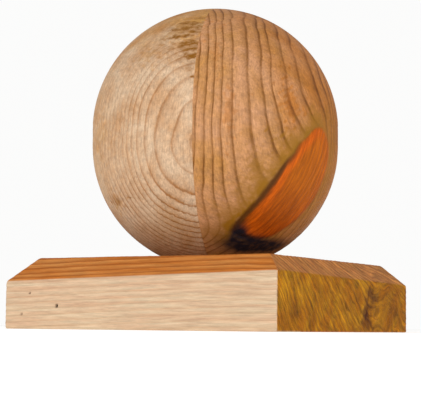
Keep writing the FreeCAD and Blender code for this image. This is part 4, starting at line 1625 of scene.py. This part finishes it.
def steel_material(name):
    """Zinc-plated steel with crystal patches, tarnish and fine scratches."""
    steel = settings("steel")
    material = new_material(name)
    tree = material.node_tree
    nodes, links = tree.nodes, tree.links

    place = nodes.new("ShaderNodeTexCoord")
    place.label = "Place on the screw"
    crystal = nodes.new("ShaderNodeTexVoronoi")
    crystal.label = "Zinc crystals"
    tarnish = nodes.new("ShaderNodeTexNoise")
    tarnish.label = "Tarnish"
    tarnish_range = nodes.new("ShaderNodeMapRange")
    tarnish_range.label = "Edges of the tarnish"
    tarnish_mix = nodes.new("ShaderNodeMix")
    tarnish_mix.label = "Bright zinc and tarnish"
    crystal_range = nodes.new("ShaderNodeMapRange")
    crystal_range.label = "Crystals differ a little"
    crystal_mix = nodes.new("ShaderNodeMix")
    crystal_mix.label = "Crystals laid on"
    scratch = nodes.new("ShaderNodeTexNoise")
    scratch.label = "Fine scratches"
    rough = nodes.new("ShaderNodeMapRange")
    rough.label = "Tarnish is duller"
    bump = nodes.new("ShaderNodeBump")
    bump.label = "Scratched surface"
    metal = nodes.new("ShaderNodeBsdfPrincipled")
    metal.label = name
    output = nodes.new("ShaderNodeOutputMaterial")
    output.label = "Surface"

    groups = {
        "Zinc": [place, crystal, crystal_range, tarnish, tarnish_range, tarnish_mix, crystal_mix],
        "Surface": [scratch, rough, bump, metal, output],
    }
    lay_out(tree, groups)

    crystal.inputs["Scale"].default_value = 900
    tarnish.inputs["Scale"].default_value = 260
    tarnish.inputs["Detail"].default_value = 4
    tarnish_range.inputs["From Min"].default_value = 0.42
    tarnish_range.inputs["From Max"].default_value = 0.66
    tarnish_mix.data_type = "RGBA"
    tarnish_mix.inputs["A"].default_value = shade(steel.zinc)
    tarnish_mix.inputs["B"].default_value = shade(steel.dull)
    crystal_range.inputs["To Min"].default_value = 0.82
    crystal_range.inputs["To Max"].default_value = 1.0
    crystal_mix.data_type = "RGBA"
    crystal_mix.blend_type = "MULTIPLY"
    crystal_mix.inputs["Factor"].default_value = 1.0
    scratch.inputs["Scale"].default_value = 2600
    scratch.inputs["Detail"].default_value = 3
    rough.inputs["To Min"].default_value = 0.26
    rough.inputs["To Max"].default_value = 0.52
    bump.inputs["Strength"].default_value = 0.15
    bump.inputs["Distance"].default_value = 0.0001
    metal.inputs["Metallic"].default_value = 1.0

    links.new(place.outputs["Object"], crystal.inputs["Vector"])
    links.new(place.outputs["Object"], tarnish.inputs["Vector"])
    links.new(place.outputs["Object"], scratch.inputs["Vector"])
    links.new(crystal.outputs["Color"], crystal_range.inputs["Value"])
    links.new(tarnish.outputs["Fac"], tarnish_range.inputs["Value"])
    links.new(tarnish_range.outputs["Result"], tarnish_mix.inputs["Factor"])
    links.new(tarnish_mix.outputs["Result"], crystal_mix.inputs["A"])
    links.new(crystal_range.outputs["Result"], crystal_mix.inputs["B"])
    links.new(tarnish_range.outputs["Result"], rough.inputs["Value"])
    links.new(scratch.outputs["Fac"], bump.inputs["Height"])
    links.new(crystal_mix.outputs["Result"], metal.inputs["Base Color"])
    links.new(rough.outputs["Result"], metal.inputs["Roughness"])
    links.new(bump.outputs["Normal"], metal.inputs["Normal"])
    links.new(metal.outputs["BSDF"], output.inputs["Surface"])
    return material


def floor_material(name):
    """Plain pale matt floor with the faintest unevenness."""
    material = new_material(name)
    tree = material.node_tree
    nodes, links = tree.nodes, tree.links

    place = nodes.new("ShaderNodeTexCoord")
    place.label = "Place on the floor"
    drift = nodes.new("ShaderNodeTexNoise")
    drift.label = "Faint unevenness of the paper"
    drift_range = nodes.new("ShaderNodeMapRange")
    drift_range.label = "How far it strays"
    tint = nodes.new("ShaderNodeMix")
    tint.label = "Pale floor"
    paper = nodes.new("ShaderNodeBsdfPrincipled")
    paper.label = name
    output = nodes.new("ShaderNodeOutputMaterial")
    output.label = "Surface"
    lay_out(tree, {"Floor": [place, drift, drift_range, tint, paper, output]})

    drift.inputs["Scale"].default_value = 3
    drift_range.inputs["To Min"].default_value = 0.97
    drift_range.inputs["To Max"].default_value = 1.0
    tint.data_type = "RGBA"
    tint.blend_type = "MULTIPLY"
    tint.inputs["Factor"].default_value = 1.0
    tint.inputs["A"].default_value = shade(settings("stage").floor)
    paper.inputs["Roughness"].default_value = 0.95
    paper.inputs["Specular IOR Level"].default_value = 0.1
    paper.inputs["Emission Color"].default_value = shade(settings("stage").floor)
    paper.inputs["Emission Strength"].default_value = 0.48

    links.new(place.outputs["Object"], drift.inputs["Vector"])
    links.new(drift.outputs["Fac"], drift_range.inputs["Value"])
    links.new(drift_range.outputs["Result"], tint.inputs["B"])
    links.new(tint.outputs["Result"], paper.inputs["Base Color"])
    links.new(paper.outputs["BSDF"], output.inputs["Surface"])
    return material


# ---------------------------------------------------------------- stage


def add_camera():
    """A long lens, level with the cap's underside and looking up a little."""
    stage = settings("stage")
    data = bpy.data.cameras.new("camera")
    data.lens = stage.lens
    data.sensor_width = 36
    data.clip_start, data.clip_end = 0.005, 50
    camera = bpy.data.objects.new("camera", data)
    bpy.context.scene.collection.objects.link(camera)
    stand = Vector((math.sin(stage.azimuth), -math.cos(stage.azimuth), 0)) * stage.distance
    stand.z = stage.height
    turn = Matrix.Rotation(stage.azimuth + stage.swing, 4, "Z")
    tilt = Matrix.Rotation(math.pi / 2 + stage.pitch, 4, "X")
    roll = Matrix.Rotation(stage.roll, 4, "Z")
    camera.matrix_world = Matrix.Translation(stand) @ turn @ tilt @ roll
    bpy.context.scene.camera = camera


def add_light(name, place, size, power, tint):
    """A square soft box that looks at the middle of the cap."""
    data = bpy.data.lights.new(name, "AREA")
    data.size = size
    data.energy = power
    data.color = tint
    light = bpy.data.objects.new(name, data)
    bpy.context.scene.collection.objects.link(light)
    aim = Vector((0, 0, 0.06))
    light.location = place
    light.rotation_euler = (aim - Vector(place)).to_track_quat("-Z", "Y").to_euler()


def add_floor():
    """A wide round flat floor."""
    rings = [0.05, 0.15, 0.4, 1.0, 2.2, 4.0]
    sides = 96
    points = [(0, 0, 0)]
    for radius in rings:
        for step in range(sides):
            turn = 2 * math.pi * step / sides
            points.append((radius * math.cos(turn), radius * math.sin(turn), 0))
    faces = [(0, 1 + step, 1 + (step + 1) % sides) for step in range(sides)]
    for ring in range(len(rings) - 1):
        for step in range(sides):
            low, after = 1 + ring * sides, (step + 1) % sides
            high = low + sides
            faces.append((low + step, high + step, high + after, low + after))
    piece = mesh_object("floor", np.array(points) / MM, faces)
    piece.data.materials.append(floor_material("Pale floor"))


def add_world():
    """Even pale surroundings, dimmer as a light than they look behind the cap."""
    world = bpy.data.worlds.new("Studio")
    world.use_nodes = True
    tree = world.node_tree
    tree.nodes.clear()
    rays = tree.nodes.new("ShaderNodeLightPath")
    rays.label = "Seen straight, or as light"
    shown = tree.nodes.new("ShaderNodeBackground")
    shown.label = "Backdrop as seen"
    fill = tree.nodes.new("ShaderNodeBackground")
    fill.label = "Backdrop as light"
    pick = tree.nodes.new("ShaderNodeMixShader")
    pick.label = "One or the other"
    output = tree.nodes.new("ShaderNodeOutputWorld")
    output.label = "Surroundings"
    lay_out(tree, {"Backdrop": [rays, fill, shown, pick, output]})
    shown.inputs["Color"].default_value = (0.97, 0.97, 0.965, 1)
    fill.inputs["Color"].default_value = (0.97, 0.98, 1.0, 1)
    fill.inputs["Strength"].default_value = 0.62
    tree.links.new(rays.outputs["Is Camera Ray"], pick.inputs["Fac"])
    tree.links.new(fill.outputs["Background"], pick.inputs[1])
    tree.links.new(shown.outputs["Background"], pick.inputs[2])
    tree.links.new(pick.outputs["Shader"], output.inputs["Surface"])
    bpy.context.scene.world = world


# ---------------------------------------------------------------- operators


class POSTCAP_OT_ball(bpy.types.Operator):
    """Build both boards of the ball"""

    bl_idname = "postcap.ball"
    bl_label = "Turned ball"

    def execute(self, context):
        ball = settings("ball")
        left = board_material(
            "Left board wood", ball.left_early, ball.left_blush, ball.left_late, 0.8, False
        )
        right = board_material(
            "Right board wood", ball.right_early, ball.right_blush, ball.right_late, 1.0, True
        )
        make_board("ball_left_board", -1, left)
        make_board("ball_right_board", 1, right)
        return {"FINISHED"}


class POSTCAP_OT_plate(bpy.types.Operator):
    """Build the bevelled plate"""

    bl_idname = "postcap.plate"
    bl_label = "Cap plate"

    def execute(self, context):
        make_plate_wood("cap_plate", plate_material("Plate wood"))
        return {"FINISHED"}


class POSTCAP_OT_screws(bpy.types.Operator):
    """Give the dowel screw and the four post screws their finish"""

    bl_idname = "postcap.screws"
    bl_label = "Screws"

    def execute(self, context):
        steel = steel_material("Zinc-plated steel")
        for node in ["dowel_screw", *SCREWS]:
            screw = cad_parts[node]
            if not screw.material_slots:
                screw.data.materials.append(steel)
            for slot in screw.material_slots:
                slot.material = steel
        return {"FINISHED"}


class POSTCAP_OT_stage(bpy.types.Operator):
    """Set up the camera, lights, floor and backdrop"""

    bl_idname = "postcap.stage"
    bl_label = "Stage"

    def execute(self, context):
        context.scene.view_settings.view_transform = "Standard"
        add_camera()
        add_floor()
        add_world()
        add_light("key", (-0.1, -1.3, 0.34), 0.9, 10.5, (1.0, 0.99, 0.975))
        add_light("fill", (1.25, -0.35, 0.35), 0.9, 6.0, (1.0, 1.0, 1.0))
        return {"FINISHED"}


class POSTCAP_PT_panel(bpy.types.Panel):
    """Lists the steps and their settings"""

    bl_idname = "POSTCAP_PT_panel"
    bl_label = "Fence Post Cap"
    bl_space_type = "VIEW_3D"
    bl_region_type = "UI"
    bl_category = "Post Cap"

    def draw(self, context):
        steps = [
            (POSTCAP_OT_stage, ["stage"]),
            (POSTCAP_OT_plate, ["plate"]),
            (POSTCAP_OT_ball, ["ball", "knot"]),
            (POSTCAP_OT_screws, ["steel"]),
        ]
        for operator, groups in steps:
            box = self.layout.box()
            box.operator(operator.bl_idname)
            for group in groups:
                held = settings(group)
                for name in held.__annotations__:
                    box.prop(held, name)


GROUPS = {
    "plate": PlateSettings,
    "ball": BallSettings,
    "knot": KnotSettings,
    "steel": SteelSettings,
    "stage": StageSettings,
}
OPERATORS = [POSTCAP_OT_stage, POSTCAP_OT_plate, POSTCAP_OT_ball, POSTCAP_OT_screws]


def register():
    for group, kind in GROUPS.items():
        bpy.utils.register_class(kind)
        setattr(bpy.types.Scene, "post_cap_" + group, bpy.props.PointerProperty(type=kind))
    for kind in [*OPERATORS, POSTCAP_PT_panel]:
        bpy.utils.register_class(kind)


def unregister():
    for kind in [POSTCAP_PT_panel, *reversed(OPERATORS)]:
        bpy.utils.unregister_class(kind)
    for group, kind in GROUPS.items():
        delattr(bpy.types.Scene, "post_cap_" + group)
        bpy.utils.unregister_class(kind)


def main():
    """Build everything in order."""
    register()
    bpy.ops.postcap.stage()
    bpy.ops.postcap.plate()
    bpy.ops.postcap.ball()
    bpy.ops.postcap.screws()


if __name__ == "__main__":
    main()
